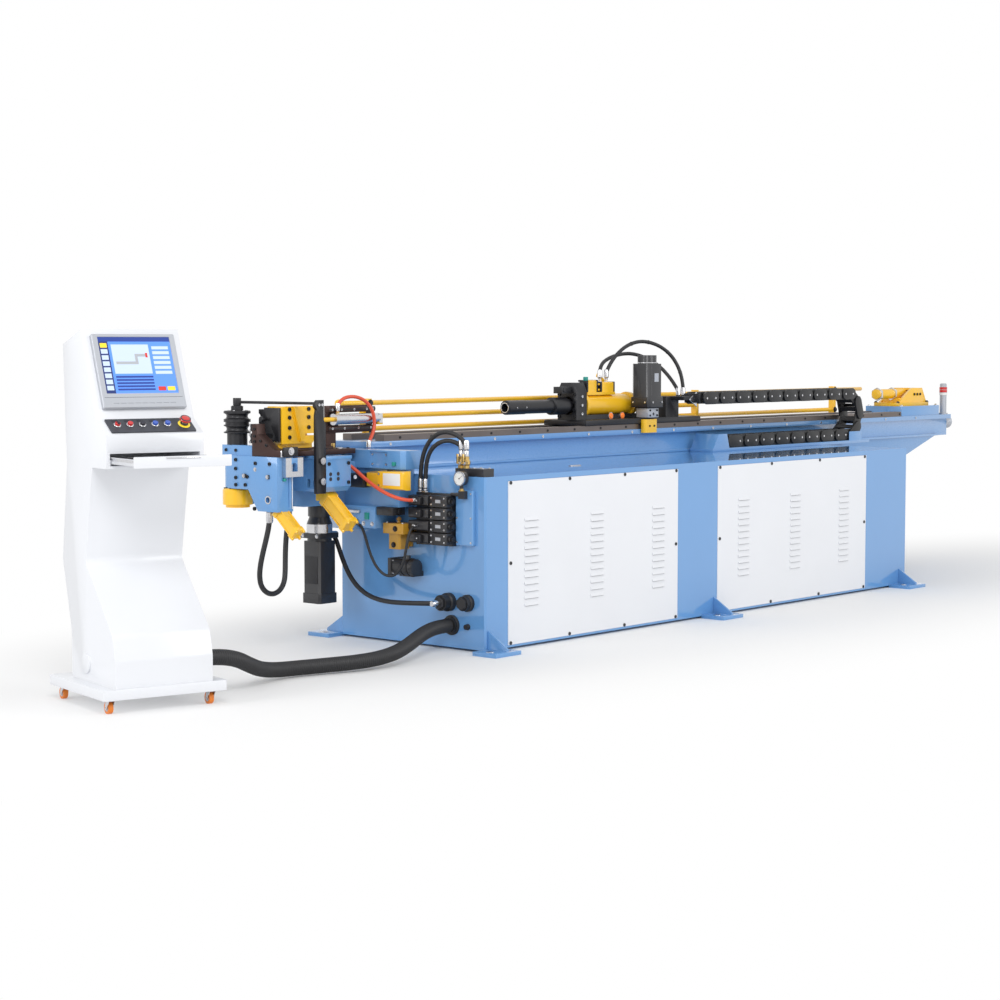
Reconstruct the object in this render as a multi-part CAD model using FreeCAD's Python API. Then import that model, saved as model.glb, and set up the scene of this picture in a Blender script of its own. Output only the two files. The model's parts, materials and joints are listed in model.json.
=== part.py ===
import FreeCAD, Part
import math
import os

V = FreeCAD.Vector

# Machine datum: X runs along the bed to the rear and starts at the cabinet's head end,
# Y starts at the cabinet's operator side, Z is the floor. The origin handed out is the
# middle of the footprint on the floor.
ORIGIN_X = 1841.0
ORIGIN_Y = 417.0

# Clearances
SEAT_GAP = 0.3
RUN_GAP = 0.3

# Cabinet
CAB_L = 4003.0
CAB_W = 992.0
CAB_H = 863.0
CAB_CLEAR = 12.0
CAB_BEVEL = 9.0
PANEL_T = 3.0
PANEL_1 = (171.0, 1585.0)
PANEL_2 = (1960.0, CAB_L - 476.0)
PANEL_Z = (24.0, CAB_H - 27.0)
PANEL_RECESS = 2.0
LOUVRE_ROWS = 13
LOUVRE_Z0 = 208.0
LOUVRE_PITCH = 35.5
LOUVRE_W = 108.0
LOUVRE_H = 17.0
LOUVRE_STAND = 7.0
LOUVRE_COLUMN = 530.0

# Feet
FOOT_X = (0.0, 1905.0, CAB_L - 95.0)
FOOT_W = 190.0
FOOT_OUT = 150.0
FOOT_T = 20.0
FOOT_RIB_H = 110.0
FOOT_RIB_T = 12.0
FOOT_BOLT_D = 22.0
FOOT_BOLT_DX = -50.0
FOOT_RIB_DX = 25.0

# Bed
BED_X1 = CAB_L + 1987.0
WEB_Y = (825.0, 1065.0)
FLANGE_Y = (790.0, 1100.0)
BED_H = 119.0
FLANGE_T = 30.0
FLANGE_Z = (CAB_H + BED_H, CAB_H + BED_H + FLANGE_T)
WAY_H = 33.0
WAY_W = 62.0
WAY_X = (120.0, BED_X1 - 690.0)
REAR_PAD_X = (BED_X1 - 675.0, BED_X1 - 155.0)
REAR_PAD_H = 68.0
REAR_GUSSET_X = BED_X1 - 160.0
REAR_GUSSET_Z = 300.0
GUSSET_T = 25.0

# Tube line and bend axis
TUBE_Y = 940.0
TUBE_Z = FLANGE_Z[1] + 145.0
TUBE_R = 14.0
DIE_CLR = 62.0
AXIS_X = -703.0
AXIS_Y = TUBE_Y + DIE_CLR
GROOVE_2_Z = TUBE_Z - 62.0
DIE_FLANGE_R = 66.0
DIE_BASE_Z = TUBE_Z - 83.0
DIE_TOP_Z = TUBE_Z + 27.0
DIE_BOSS_H = 22.0

# Bend arm
ARM_W = 104.0
ARM_SHIFT = -14.0
ARM_TOP = TUBE_Z - 189.0
ARM_HUB_Z0 = ARM_TOP - 162.0
ARM_HUB_R = 61.0
ARM_END_Y = 650.0
ARM_FOOT_Z = ARM_TOP - 264.0
ARM_WALL = 20.0
PIVOT_R = 26.0
DRUM_Z = (ARM_HUB_Z0 - 82.0, ARM_HUB_Z0 - 2.0)
DRUM_R = 74.0
SEAT_BLOCK_H = 50.0
DIE_POST_R = 50.0

# Clamp
CLAMP_X = (-763.0, -709.0)
CLAMP_BASE_X1 = -671.0
CLAMP_FACE_Y = 832.0
CLAMP_BACK_Y = 640.0
CLAMP_TOP = TUBE_Z - 33.0
CLAMP_STROKE = 72.0
INSERT_T = 22.0

# Pressure die
PRESS_X = (-470.0, -300.0)
HEAD_FACE_X = -112.0
PRESS_Y = (620.0, 850.0)
PRESS_Z = (TUBE_Z - 371.0, TUBE_Z - 195.0)
PRESS_PLATE_X = (-655.0, -150.0)
PRESS_PLATE_Y = (735.0, 905.0)
PRESS_PLATE_T = 26.0
PRESS_STROKE = 24.0
KEY_H = 12.0
HOLDER_X = (-640.0, -412.0)
HOLDER_Y = (752.0, 862.0)
HOLDER_Z = (TUBE_Z - 133.0, TUBE_Z + 49.0)
BOOST_STROKE = 140.0
RAIL_X = (-238.0, 95.0)
RAIL_Y = 855.0
RAIL_Z = (TUBE_Z - 72.0, TUBE_Z + 23.0)
BOOSTER_Z = TUBE_Z - 25.0
POST_X = (-538.0, -474.0)
POST_Y = (618.0, 636.0)
POST_Z = (TUBE_Z - 375.0, TUBE_Z + 81.0)

# Carriage
CAR_X = (1770.0, 2890.0)
CAR_Z = FLANGE_Z[1] + WAY_H + SEAT_GAP
CAR_T = 30.0
SPINDLE_X = (1242.0, 2380.0)
SPINDLE_R = 40.0
SPINDLE_BORE_R = 24.0
HOUSING_X = (1895.0, 2370.0)
HOUSING_R = 58.0
FEED_X = 2354.0
FEED_Y = 790.0
FEED_Z0 = TUBE_Z - 17.0

# Energy chain
LINK_PITCH = 87.0
LINK_H = 74.0
LINK_T = 12.0
CHAIN_Y = (632.0, 778.0)
CHAIN_TURNS = 5
CHAIN_X = 4400.0
CHAIN_TOP_Z = CAB_H + 324.0
TRAY_LIP = 105.0
CHAIN_UPPER = 19
CHAIN_LOWER = 16

# Support bars
GAUGE_Y = 123.0
BAR_Y = 1132.0
BAR_R = 14.0
BARS = ((130.0, BED_X1 - 680.0, TUBE_Z + 42.0), (330.0, 3330.0, TUBE_Z - 29.0), (330.0, 4950.0, TUBE_Z - 95.0))

# Cable entries on the end wall: reach, Y, Z and radius
GLANDS = ((-70.0, 235.0, 237.0, 46.0), (-44.0, 112.0, 240.0, 42.0), (-20.0, 113.0, 122.0, 15.0),
          (-24.0, 219.0, 123.0, 50.0))

# Console
CON_X = -2367.0
CON_Y = -21.0
CON_YAW = -15.0
CON_W = 555.0
CON_D = 566.0
CON_PLATE_Z = (62.0, 105.0)
COL_X = (57.0, 497.0)
WHEEL_R = 25.0
WHEEL_W = 20.0
DRAWER_OUT = 250.0
DRAWER_FRONT = 74.0
CASTER_TRAIL = 18.0
AXLE_R = 4.0
CON_BEND_R = 60.0
CONDUIT_COLLAR = 10.0

# Flexible lines: diameter and route, each from its fitting to where it goes in
CONDUIT_D = 70.0
CONDUIT = ((-1825.2, 40.9, 175.0), (-1729.0, 15.1, 175.0), (-1609.0, 22.0, 152.0), (-1492.0, 66.0, 106.0),
           (-1375.0, 122.0, 68.0), (-1245.0, 165.0, 46.0), (-1110.0, 160.0, 41.0), (-975.0, 118.0, 42.0),
           (-845.0, 72.0, 44.0), (-710.0, 50.0, 48.0), (-570.0, 62.0, 60.0), (-435.0, 105.0, 80.0),
           (-305.0, 158.0, 103.0), (-200.0, 196.0, 116.0), (-105.0, 219.0, 123.0), (-24.3, 219.0, 123.0))
ARCH_HOSE = ((-190.0, 821.0, 1172.3), (-190.0, 820.0, 1204.0), (-162.0, 814.0, 1236.0), (-114.0, 806.0, 1247.0),
             (-62.0, 798.0, 1241.0), (-14.0, 792.0, 1220.0), (22.0, 786.0, 1180.0), (36.0, 782.0, 1130.0),
             (30.0, 778.0, 1082.0), (8.0, 774.0, 1044.0), (-20.0, 770.0, 1012.0), (-20.0, 770.0, 982.3))
ARM_HOSE_END = (-458.0, 900.0)
ARM_HOSE = ((-717.0, 760.0, 703.7), (-717.0, 760.5, 662.0), (-722.0, 766.0, 610.0), (-731.0, 775.0, 555.0),
            (-739.0, 787.0, 498.0), (-744.5, 798.0, 443.0), (-745.0, 806.0, 390.0), (-731.0, 812.0, 337.0),
            (-692.0, 817.0, 299.0), (-640.0, 822.0, 285.0), (-587.0, 829.0, 299.0), (-549.0, 838.0, 337.0),
            (-532.0, 849.0, 389.0), (-519.0, 862.0, 448.0), (-505.0, 874.0, 508.0), (-489.0, 885.0, 564.0),
            (-471.0, 895.0, 610.0), (-459.0, 899.5, 651.0), (-458.0, 900.0, 691.7))
FEED_HOSE = ((-299.7, 740.0, 932.0), (-272.0, 740.0, 932.0), (-246.0, 724.0, 922.0), (-226.0, 698.0, 904.0),
             (-214.0, 666.0, 880.0), (-208.0, 630.0, 853.0), (-204.0, 588.0, 827.0), (-202.0, 544.0, 803.0),
             (-200.0, 498.0, 782.0), (-194.0, 452.0, 765.0), (-180.0, 414.0, 752.0), (-154.0, 388.0, 744.0),
             (-118.0, 376.0, 740.0), (-78.3, 376.0, 740.0))
PRESSURE_HOSE_1 = ((-20.0, 411.0, 793.3), (-20.5, 410.5, 835.0), (-25.0, 403.0, 878.0), (-31.0, 392.0, 922.0),
                   (-36.0, 376.0, 966.0), (-37.0, 352.0, 1010.0), (-35.0, 318.0, 1048.0), (-29.0, 276.0, 1073.0),
                   (-19.0, 232.0, 1080.0), (-4.0, 190.0, 1068.0), (12.0, 160.0, 1044.0), (24.0, 144.0, 1014.0),
                   (24.0, 144.0, 989.3))
PRESSURE_HOSE_2 = ((-20.0, 377.0, 793.3), (-20.5, 376.5, 835.0), (-25.0, 370.0, 877.0), (-31.0, 360.0, 918.0),
                   (-36.0, 344.0, 957.0), (-37.0, 320.0, 992.0), (-34.0, 288.0, 1018.0), (-26.0, 252.0, 1034.0),
                   (-11.0, 219.0, 1036.0), (8.0, 195.0, 1026.0), (24.0, 177.0, 1008.0), (24.0, 177.0, 989.3))
CYLINDER_HOSE = ((-349.7, 556.0, 629.0), (-322.0, 556.0, 629.0), (-292.0, 558.0, 615.0), (-266.0, 561.0, 575.0),
                 (-248.0, 559.0, 520.0), (-233.0, 549.0, 462.0), (-215.0, 528.0, 404.0), (-194.0, 494.0, 366.0),
                 (-174.0, 454.0, 362.0), (-160.0, 422.0, 392.0), (-153.0, 402.0, 440.0), (-150.0, 390.0, 492.0),
                 (-145.0, 382.0, 546.0), (-132.0, 378.5, 592.0), (-104.0, 378.0, 614.0), (-78.3, 378.0, 614.0))
MOTOR_CABLE = ((-146.7, 930.0, 543.0), (-124.0, 930.0, 543.0), (-108.0, 922.0, 518.0), (-108.0, 902.0, 478.0),
               (-113.0, 876.0, 434.0), (-122.0, 842.0, 388.0), (-133.0, 800.0, 342.0), (-143.0, 748.0, 300.0),
               (-152.0, 688.0, 268.0), (-160.0, 622.0, 247.0), (-166.0, 552.0, 236.0), (-167.0, 482.0, 232.0),
               (-162.0, 412.0, 233.0), (-152.0, 348.0, 235.0), (-134.0, 290.0, 237.0), (-104.0, 240.0, 237.0),
               (-70.3, 240.0, 237.0))
CHUCK_HOSE_1 = ((2150.0, 937.0, 1311.6), (2150.0, 937.0, 1342.0), (2170.0, 932.0, 1382.0), (2208.0, 930.0, 1424.0),
                (2260.0, 930.0, 1462.0), (2324.0, 933.0, 1494.0), (2396.0, 934.0, 1517.0), (2474.0, 929.0, 1529.0),
                (2550.0, 912.0, 1522.0), (2618.0, 884.0, 1496.0), (2670.0, 852.0, 1450.0), (2698.0, 822.0, 1390.0),
                (2706.0, 798.0, 1328.0), (2705.0, 784.0, 1268.0), (2704.0, 780.0, 1230.0), (2704.0, 780.0, 1200.3))
CHUCK_HOSE_2 = ((2090.0, 937.0, 1311.6), (2090.0, 937.0, 1338.0), (2108.0, 949.0, 1368.0), (2146.0, 966.0, 1394.0),
                (2198.0, 983.0, 1414.0), (2262.0, 996.0, 1431.0), (2332.0, 1004.0, 1445.0), (2404.0, 1005.0, 1454.0),
                (2476.0, 1000.0, 1455.0), (2546.0, 982.0, 1442.0), (2604.0, 950.0, 1414.0), (2642.0, 906.0, 1374.0),
                (2658.0, 860.0, 1324.0), (2660.0, 818.0, 1276.0), (2654.0, 780.0, 1230.0), (2654.0, 780.0, 1200.3))
CORDS = {
    "console_conduit": (CONDUIT_D, CONDUIT), "arch_hose": (18.0, ARCH_HOSE), "feed_hose": (18.0, FEED_HOSE),
    "pressure_hose_1": (22.0, PRESSURE_HOSE_1), "pressure_hose_2": (22.0, PRESSURE_HOSE_2),
    "arm_hose": (26.0, ARM_HOSE), "cylinder_hose": (14.0, CYLINDER_HOSE), "motor_cable": (24.0, MOTOR_CABLE),
    "chuck_hose_1": (22.0, CHUCK_HOSE_1), "chuck_hose_2": (22.0, CHUCK_HOSE_2),
}


def box(x0, x1, y0, y1, z0, z1):
    return Part.makeBox(x1 - x0, y1 - y0, z1 - z0, V(x0, y0, z0))


def rod(start, end, radius):
    axis = end - start
    return Part.makeCylinder(radius, axis.Length, start, axis)


def rod_x(x0, x1, y, z, radius):
    return rod(V(x0, y, z), V(x1, y, z), radius)


def rod_y(y0, y1, x, z, radius):
    return rod(V(x, y0, z), V(x, y1, z), radius)


def rod_z(z0, z1, x, y, radius):
    return rod(V(x, y, z0), V(x, y, z1), radius)


def face(points):
    return Part.Face(Part.makePolygon(points + [points[0]]))


def prism_x(points, x0, x1):
    outline = [V(x0, y, z) for y, z in points]
    return face(outline).extrude(V(x1 - x0, 0, 0))


def prism_y(points, y0, y1):
    outline = [V(x, y0, z) for x, z in points]
    return face(outline).extrude(V(0, y1 - y0, 0))


def prism_z(points, z0, z1):
    outline = [V(x, y, z0) for x, y in points]
    return face(outline).extrude(V(0, 0, z1 - z0))


def join(shapes):
    whole = shapes[0]
    for shape in shapes[1:]:
        whole = whole.fuse(shape)
    return whole.removeSplitter()


def turned_z(side, x, y):
    """Revolve a half outline, given as radius and height, about an upright axis."""
    outline = [V(x + radius, y, z) for radius, z in side]
    return face(outline).revolve(V(x, y, 0), V(0, 0, 1), 360)


def turned_x(side, y, z):
    """Revolve a half outline, given as place along X and radius, about an axis along X."""
    outline = [V(x, y, z + radius) for x, radius in side]
    return face(outline).revolve(V(0, y, z), V(1, 0, 0), 360)


def edges_along(shape, direction, test):
    chosen = []
    for edge in shape.Edges:
        if len(edge.Vertexes) != 2:
            continue
        span = edge.Vertexes[1].Point - edge.Vertexes[0].Point
        if span.Length < 1e-6:
            continue
        if abs(span.normalize().dot(direction)) > 0.999 and test(edge.CenterOfMass):
            chosen.append(edge)
    return chosen


def tube_along(points, diameter):
    """A flexible line: straight runs joined by tangent arcs."""
    pts = [V(*p) for p in points]
    edges = []
    last = pts[0]
    for i in range(1, len(pts) - 1):
        before = pts[i - 1] - pts[i]
        after = pts[i + 1] - pts[i]
        shorter = min(before.Length, after.Length)
        back = before.normalize()
        ahead = after.normalize()
        turn = math.pi - back.getAngle(ahead)
        cut = 0.45 * shorter
        radius = cut / math.tan(turn / 2)
        print("bend radius", round(radius), "turn", round(math.degrees(turn)))
        enter = pts[i] + back * cut
        leave = pts[i] + ahead * cut
        middle = (back + ahead).normalize()
        reach = radius / math.cos(turn / 2) - radius
        edges.append(Part.LineSegment(last, enter).toShape())
        edges.append(Part.Arc(enter, pts[i] + middle * reach, leave).toShape())
        last = leave
    edges.append(Part.LineSegment(last, pts[-1]).toShape())
    route = Part.Wire(edges)
    ring = Part.Wire([Part.makeCircle(diameter / 2, pts[0], pts[1] - pts[0])])
    return route.makePipeShell([ring], True, False)


def junction_cover():
    """Thin cover over the cable entry, its edges rounded."""
    shell = box(-22, 0, 62, 176, CAB_H - 339, CAB_H - 67)
    shell = shell.makeFillet(6, edges_along(shell, V(0, 0, 1), lambda p: p.x < -10))
    return shell.makeChamfer(4, edges_along(shell, V(0, 1, 0), lambda p: p.x < -10))


def cabinet():
    """The closed cabinet, its end corners bevelled, with a shallow seat for each side panel."""
    body = box(0, CAB_L, 0, CAB_W, CAB_CLEAR, CAB_H)
    corners = edges_along(body, V(0, 0, 1), lambda p: p.x < 1)
    body = body.makeChamfer(CAB_BEVEL, corners)
    cuts = []
    for x0, x1 in (PANEL_1, PANEL_2):
        for y0, y1 in ((-1, PANEL_RECESS), (CAB_W - PANEL_RECESS, CAB_W + 1)):
            cuts.append(box(x0 - 2, x1 + 2, y0, y1, PANEL_Z[0] - 2, PANEL_Z[1] + 2))
    return join([body.cut(Part.Compound(cuts)), junction_cover()])


def louvre(x, z, y, out):
    """One pressed louvre hood, standing out of a panel's face at y."""
    w = LOUVRE_W / 2
    reach = y + out * LOUVRE_STAND
    points = [(y, z), (reach, z), (y, z + LOUVRE_H)]
    return prism_x(points, x - w, x + w)


def access_panels():
    panels = []
    for x0, x1 in (PANEL_1, PANEL_2):
        for side in (0, 1):
            out = -1 if side == 0 else 1
            seat = PANEL_RECESS if side == 0 else CAB_W - PANEL_RECESS
            outer = seat + out * PANEL_T
            sheet = box(x0, x1, min(seat, outer), max(seat, outer), *PANEL_Z)
            hoods = []
            for column in (-1, 0, 1):
                for row in range(LOUVRE_ROWS):
                    z = LOUVRE_Z0 + row * LOUVRE_PITCH
                    hoods.append(louvre((x0 + x1) / 2 + column * LOUVRE_COLUMN, z, outer, out))
            panels.append(sheet.fuse(hoods))
    return Part.Compound(panels)


def foot(x, side):
    """A floor plate with a raking rib, welded to the cabinet's long side."""
    out = -1 if side == 0 else 1
    wall = 0.0 if side == 0 else CAB_W
    tip = wall + out * FOOT_OUT
    plate = box(x - FOOT_W / 2, x + FOOT_W / 2, min(wall, tip), max(wall, tip), 0, FOOT_T)
    points = [(wall, FOOT_T), (wall + out * (FOOT_OUT - 25), FOOT_T)]
    points += [(wall + out * (FOOT_OUT - 25), FOOT_T + 10), (wall, FOOT_RIB_H)]
    rib = prism_x(points, x + FOOT_RIB_DX - FOOT_RIB_T / 2, x + FOOT_RIB_DX + FOOT_RIB_T / 2)
    bolt = rod_z(-1, FOOT_T + 1, x + FOOT_BOLT_DX, wall + out * FOOT_OUT / 2, FOOT_BOLT_D / 2)
    return join([plate, rib]).cut(bolt)


def leveling_feet():
    feet = []
    for x in FOOT_X:
        for side in (0, 1):
            feet.append(foot(x, side))
    return Part.Compound(feet)


def bed_beam():
    """The box web under its wide flange, with the raking gussets that carry the rear end."""
    web = box(0, BED_X1, *WEB_Y, CAB_H, FLANGE_Z[0])
    flange = box(0, BED_X1, *FLANGE_Y, *FLANGE_Z)
    rim_y = (FLANGE_Y[0] + 12, FLANGE_Y[1] - 12)
    foot_rim = box(0, REAR_GUSSET_X, *rim_y, CAB_H, CAB_H + 14)
    gussets = []
    for y0 in (WEB_Y[0], WEB_Y[1] - GUSSET_T):
        points = [(CAB_L, CAB_H), (REAR_GUSSET_X, CAB_H), (CAB_L, REAR_GUSSET_Z)]
        gussets.append(prism_y(points, y0, y0 + GUSSET_T))
    base = box(CAB_L, CAB_L + 20, *WEB_Y, REAR_GUSSET_Z, CAB_H)
    pad = box(*REAR_PAD_X, FLANGE_Y[0] + 10, FLANGE_Y[1] - 10, FLANGE_Z[1], FLANGE_Z[1] + REAR_PAD_H)
    return join([web, flange, foot_rim, pad, base] + gussets)


def guide_ways():
    """Two ground ways along the flange; the carriage's plate runs on them."""
    ways = []
    for y0 in (FLANGE_Y[0] + 6, FLANGE_Y[1] - 6 - WAY_W):
        way = box(*WAY_X, y0, y0 + WAY_W, FLANGE_Z[1], FLANGE_Z[1] + WAY_H)
        ways.append(way.makeChamfer(3, edges_along(way, V(1, 0, 0), lambda p: p.z > FLANGE_Z[1] + 1)))
    return Part.Compound(ways)


def head_frame():
    """The welded head that carries the bend axis, the pressure block and the head's valves."""
    top = FLANGE_Z[0]
    side = [(0, top - 422), (0, top), (-110, top), (-140, top - 27), (-620, top - 27)]
    side += [(-632, top - 42), (-632, top - 258), (-400, top - 282), (-154, top - 282)]
    body = prism_y(side, 850, 1062)
    relief = box(-640, -150, 1000, 1100, ARM_HUB_Z0 - 5, top + 118)
    lug = box(-650, -600, 960, 1044, *DRUM_Z)
    seat = rod_z(DRUM_Z[0] - 24, DRUM_Z[1] + 16, AXIS_X, AXIS_Y, DRUM_R)
    upper = prism_z([(0, 425), (0, 850), (-130, 850), (-130, 445), (-110, 425)], top - 92, top)
    panel = box(-131, -122, 535, 655, top - 84, top - 8)
    middle = box(HEAD_FACE_X, 0, 471, 850, top - 282, top - 92)
    flank = box(-200, 0, 760, 850, top - 180, top - 60)
    shelf = prism_x([(850, top - 282), (850, top - 350), (720, top - 350), (700, top - 392), (600, top - 392),
                     (600, top - 282)], -150, 0)
    port = rod_z(top - 290, top - 270, *ARM_HOSE_END, 20)
    frame = join([body.cut(relief), upper.cut(panel), middle, flank, shelf, lug, port])
    return frame.cut(seat)


def drum():
    """The fixed drum that the arm turns on, its collar below and its pin above."""
    z0, z1 = DRUM_Z
    r = DRUM_R
    side = [(0, z0 - 14), (r - 14, z0 - 14), (r - 14, z0), (r, z0), (r, z1 - 8), (r - 8, z1)]
    side += [(PIVOT_R, z1), (PIVOT_R, ARM_TOP - 10), (PIVOT_R - 4, ARM_TOP - 6), (0, ARM_TOP - 6)]
    return turned_z(side, AXIS_X, AXIS_Y)


def bend_drive():
    """Gearbox under the head with its square servomotor hanging below."""
    x, y = -215.0, 930.0
    top = FLANGE_Z[0] - 282
    spigot = rod_z(top - 60, top, x, y, 58)
    gear = turned_z([(0, top - 144), (64, top - 144), (64, top - 96), (50, top - 60), (0, top - 60)], x, y)
    plate = box(x - 68, x + 68, y - 68, y + 68, top - 170, top - 144)
    neck = rod_z(top - 185, top - 170, x, y, 62)
    stator = box(x - 60, x + 60, y - 60, y + 60, top - 450, top - 185)
    stator = stator.makeChamfer(10, edges_along(stator, V(0, 0, 1), lambda p: True))
    end = box(x - 66, x + 66, y - 66, y + 66, top - 500, top - 450)
    end = end.makeChamfer(12, edges_along(end, V(0, 0, 1), lambda p: True))
    return join([spigot, gear, plate, neck, stator, end])


def drive_cover():
    """Bevelled yellow cover on the head's end face, narrower at its inner end."""
    z = FLANGE_Z[0] - 98
    x = HEAD_FACE_X
    wide = prism_y([(x, z), (x - 57, z - 4), (x - 63, z - 12), (x - 63, z - 88), (x - 30, z - 96), (x, z - 96)], 390, 560)
    narrow = prism_y([(x, z - 8), (x - 52, z - 14), (x - 52, z - 80), (x - 24, z - 88), (x, z - 88)], 560, 645)
    return join([wide, narrow])


def pressure_block():
    """Box that carries the pressure slide: open below, with a lip and two slotted holes."""
    x0, x1 = PRESS_X
    y0, y1 = PRESS_Y
    z0, z1 = PRESS_Z
    side = [(y0, z0 + 26), (y0 + 26, z0), (y1, z0), (y1, z1), (y0, z1)]
    body = prism_x(side, x0, x1)
    inside = [(y0 + 22, z0 + 40), (y0 + 40, z0 + 22), (y1 - 30, z0 + 22), (y1 - 30, z1 - 22), (y0 + 22, z1 - 22)]
    body = body.cut(prism_x(inside, x0 + 22, x1 - 22))
    lip = box(x0 - 3, x1 + 3, y0 - 5, y1, z1 - 16, z1)
    shape = join([body, lip])
    for y in (700.0, 745.0):
        slot = join([rod_x(x0 - 7, x0 + 23, y, z0 + 30, 11), rod_x(x0 - 7, x0 + 23, y, z0 + 52, 11),
                     box(x0 - 7, x0 + 23, y - 11, y + 11, z0 + 30, z0 + 52)])
        shape = shape.cut(slot)
    return shape


def tie_post():
    """Steel post with a stepped head; its rod ties the top of the bend die's pin."""
    x0, x1 = POST_X
    z0, z1 = POST_Z
    outline = [(x0, z0), (x1, z0), (x1, z1 - 118), (x1 - 12, z1 - 98), (x1 - 12, z1)]
    outline += [(x0 + 12, z1), (x0 - 6, z1 - 16), (x0 - 6, z1 - 33), (x0 + 6, z1 - 48), (x0, z1 - 78)]
    post = prism_y(outline, *POST_Y)
    link = box(x1 - 10, PRESS_X[0], POST_Y[0] + 3, POST_Y[1] + 40, z0 + 18, z0 + 148)
    start = V(x0 + 6, (POST_Y[0] + POST_Y[1]) / 2, z1 - 16)
    bar = rod(start, V(AXIS_X, AXIS_Y, DIE_TOP_Z + 42), 7)
    eye = rod_z(DIE_TOP_Z + DIE_BOSS_H + 4, DIE_TOP_Z + 62, AXIS_X, AXIS_Y, 20)
    bore = rod_z(DIE_TOP_Z, DIE_TOP_Z + 48, AXIS_X, AXIS_Y, 10 + RUN_GAP)
    bosses = [rod_y(POST_Y[0] - 12, POST_Y[0], x1 - 30, z, 15) for z in (z0 + 60, z0 + 160)]
    return join([post, link, bar, eye] + bosses).cut(bore)


def slant_cylinder(x, top, length, half):
    """A square cylinder with caps, four tie rods and nuts, sloping down to the operator side."""
    direction = V(0, -0.75, -0.66)
    cap = half + 5
    body = Part.makeBox(2 * half, 2 * half, length, V(-half, -half, 0))
    body = body.makeChamfer(half * 0.28, edges_along(body, V(0, 0, 1), lambda p: True))
    parts = [body]
    for z in (0, length - 26):
        parts.append(Part.makeBox(2 * cap, 2 * cap, 26, V(-cap, -cap, z)))
    reach = half - 1
    for dx, dy in ((-1, -1), (1, -1), (1, 1), (-1, 1)):
        parts.append(Part.makeCylinder(4, length, V(dx * reach, dy * reach, 0)))
        parts.append(Part.makeCylinder(7, 9, V(dx * reach, dy * reach, length)))
    shape = join(parts)
    turn = FreeCAD.Rotation(V(0, 0, 1), direction)
    shape.Placement = FreeCAD.Placement(V(x, top[0], top[1]), turn)
    return shape


def pressure_cylinder():
    """Cylinder hung from the block's floor by its lug."""
    x = (PRESS_X[0] + PRESS_X[1]) / 2
    shape = slant_cylinder(x, (700, PRESS_Z[0] - 30), 205, 30)
    lug = box(x - 20, x + 20, 680, 760, PRESS_Z[0] - 50, PRESS_Z[0])
    return join([shape, lug])


def pressure_slide():
    """Slide plate with the upright that holds the booster and its two guide rails."""
    z0 = PRESS_Z[1] + SEAT_GAP
    z1 = z0 + PRESS_PLATE_T
    plate = box(*PRESS_PLATE_X, *PRESS_PLATE_Y, z0, z1)
    key = box(PRESS_PLATE_X[0], -250, 790, 826, z1, z1 + KEY_H)
    stand = box(-236, -166, 858, 900, z1, RAIL_Z[0] - 19)
    wall = box(*RAIL_X, RAIL_Y, RAIL_Y + 14, RAIL_Z[0] - 23, RAIL_Z[1] + 20)
    window = box(-150, 60, RAIL_Y - 1, RAIL_Y + 15, RAIL_Z[0] + 15, RAIL_Z[1] - 15)
    rails = []
    for z in RAIL_Z:
        rail = box(*RAIL_X, RAIL_Y - 22, RAIL_Y, z - 12, z + 12)
        rails.append(rail.makeChamfer(3, edges_along(rail, V(1, 0, 0), lambda p: p.y < RAIL_Y - 1)))
    gusset = prism_x([(RAIL_Y + 14, z1), (PRESS_PLATE_Y[1] - 2, z1), (RAIL_Y + 14, RAIL_Z[0] - 23)], -230, -170)
    return join([plate, key, stand, wall.cut(window), gusset] + rails)


def booster_cylinder():
    """Round cylinder between the rails, on two saddles, with a square rear cap and a port."""
    y = RAIL_Y - 34
    tube = rod_x(-216, 96, y, BOOSTER_Z, 27)
    cap = box(88, 112, y - 24, y + 24, BOOSTER_Z - 24, BOOSTER_Z + 24)
    gland = rod_x(-222, -200, y, BOOSTER_Z, 29)
    bore = rod_x(-223, 80, y, BOOSTER_Z, 12 + RUN_GAP)
    saddles = [box(x, x + 30, y, RAIL_Y, BOOSTER_Z - 20, BOOSTER_Z + 20) for x in (-200, 52)]
    port = rod_z(BOOSTER_Z + 20, BOOSTER_Z + 40, -190, y, 9)
    return join([tube, cap, gland, port] + saddles).cut(bore)


def pressure_holder():
    """Holder of the pressure die, with its raking rib, its slot and its foot on the key."""
    x0, x1 = HOLDER_X
    z0, z1 = HOLDER_Z
    outline = [(x0, z0), (x1 - 22, z0), (x1, z0 + 22), (x1, z1 - 12), (x1 - 12, z1), (x0 + 12, z1), (x0, z1 - 12)]
    body = prism_y(outline, *HOLDER_Y)
    rib = prism_y([(x0 + 70, z1 - 1), (x0 + 92, z1 - 1), (x0 + 150, z0 + 10), (x0 + 118, z0 + 10)],
                  HOLDER_Y[0] - 14, HOLDER_Y[0])
    slot = box(x1 - 70, x1 + 1, HOLDER_Y[0] - 1, HOLDER_Y[0] + 60, z0 + 38, z0 + 48)
    base = box(x0, x1, 778, 838, PRESS_Z[1] + 2 * SEAT_GAP + PRESS_PLATE_T + KEY_H, z0)
    y = RAIL_Y - 34
    shaft = rod_x(x1, -110, y, BOOSTER_Z, 12)
    nut = rod_x(x1, x1 + 26, y, BOOSTER_Z, 20)
    return join([body, rib, base, shaft, nut]).cut(slot)


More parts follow.
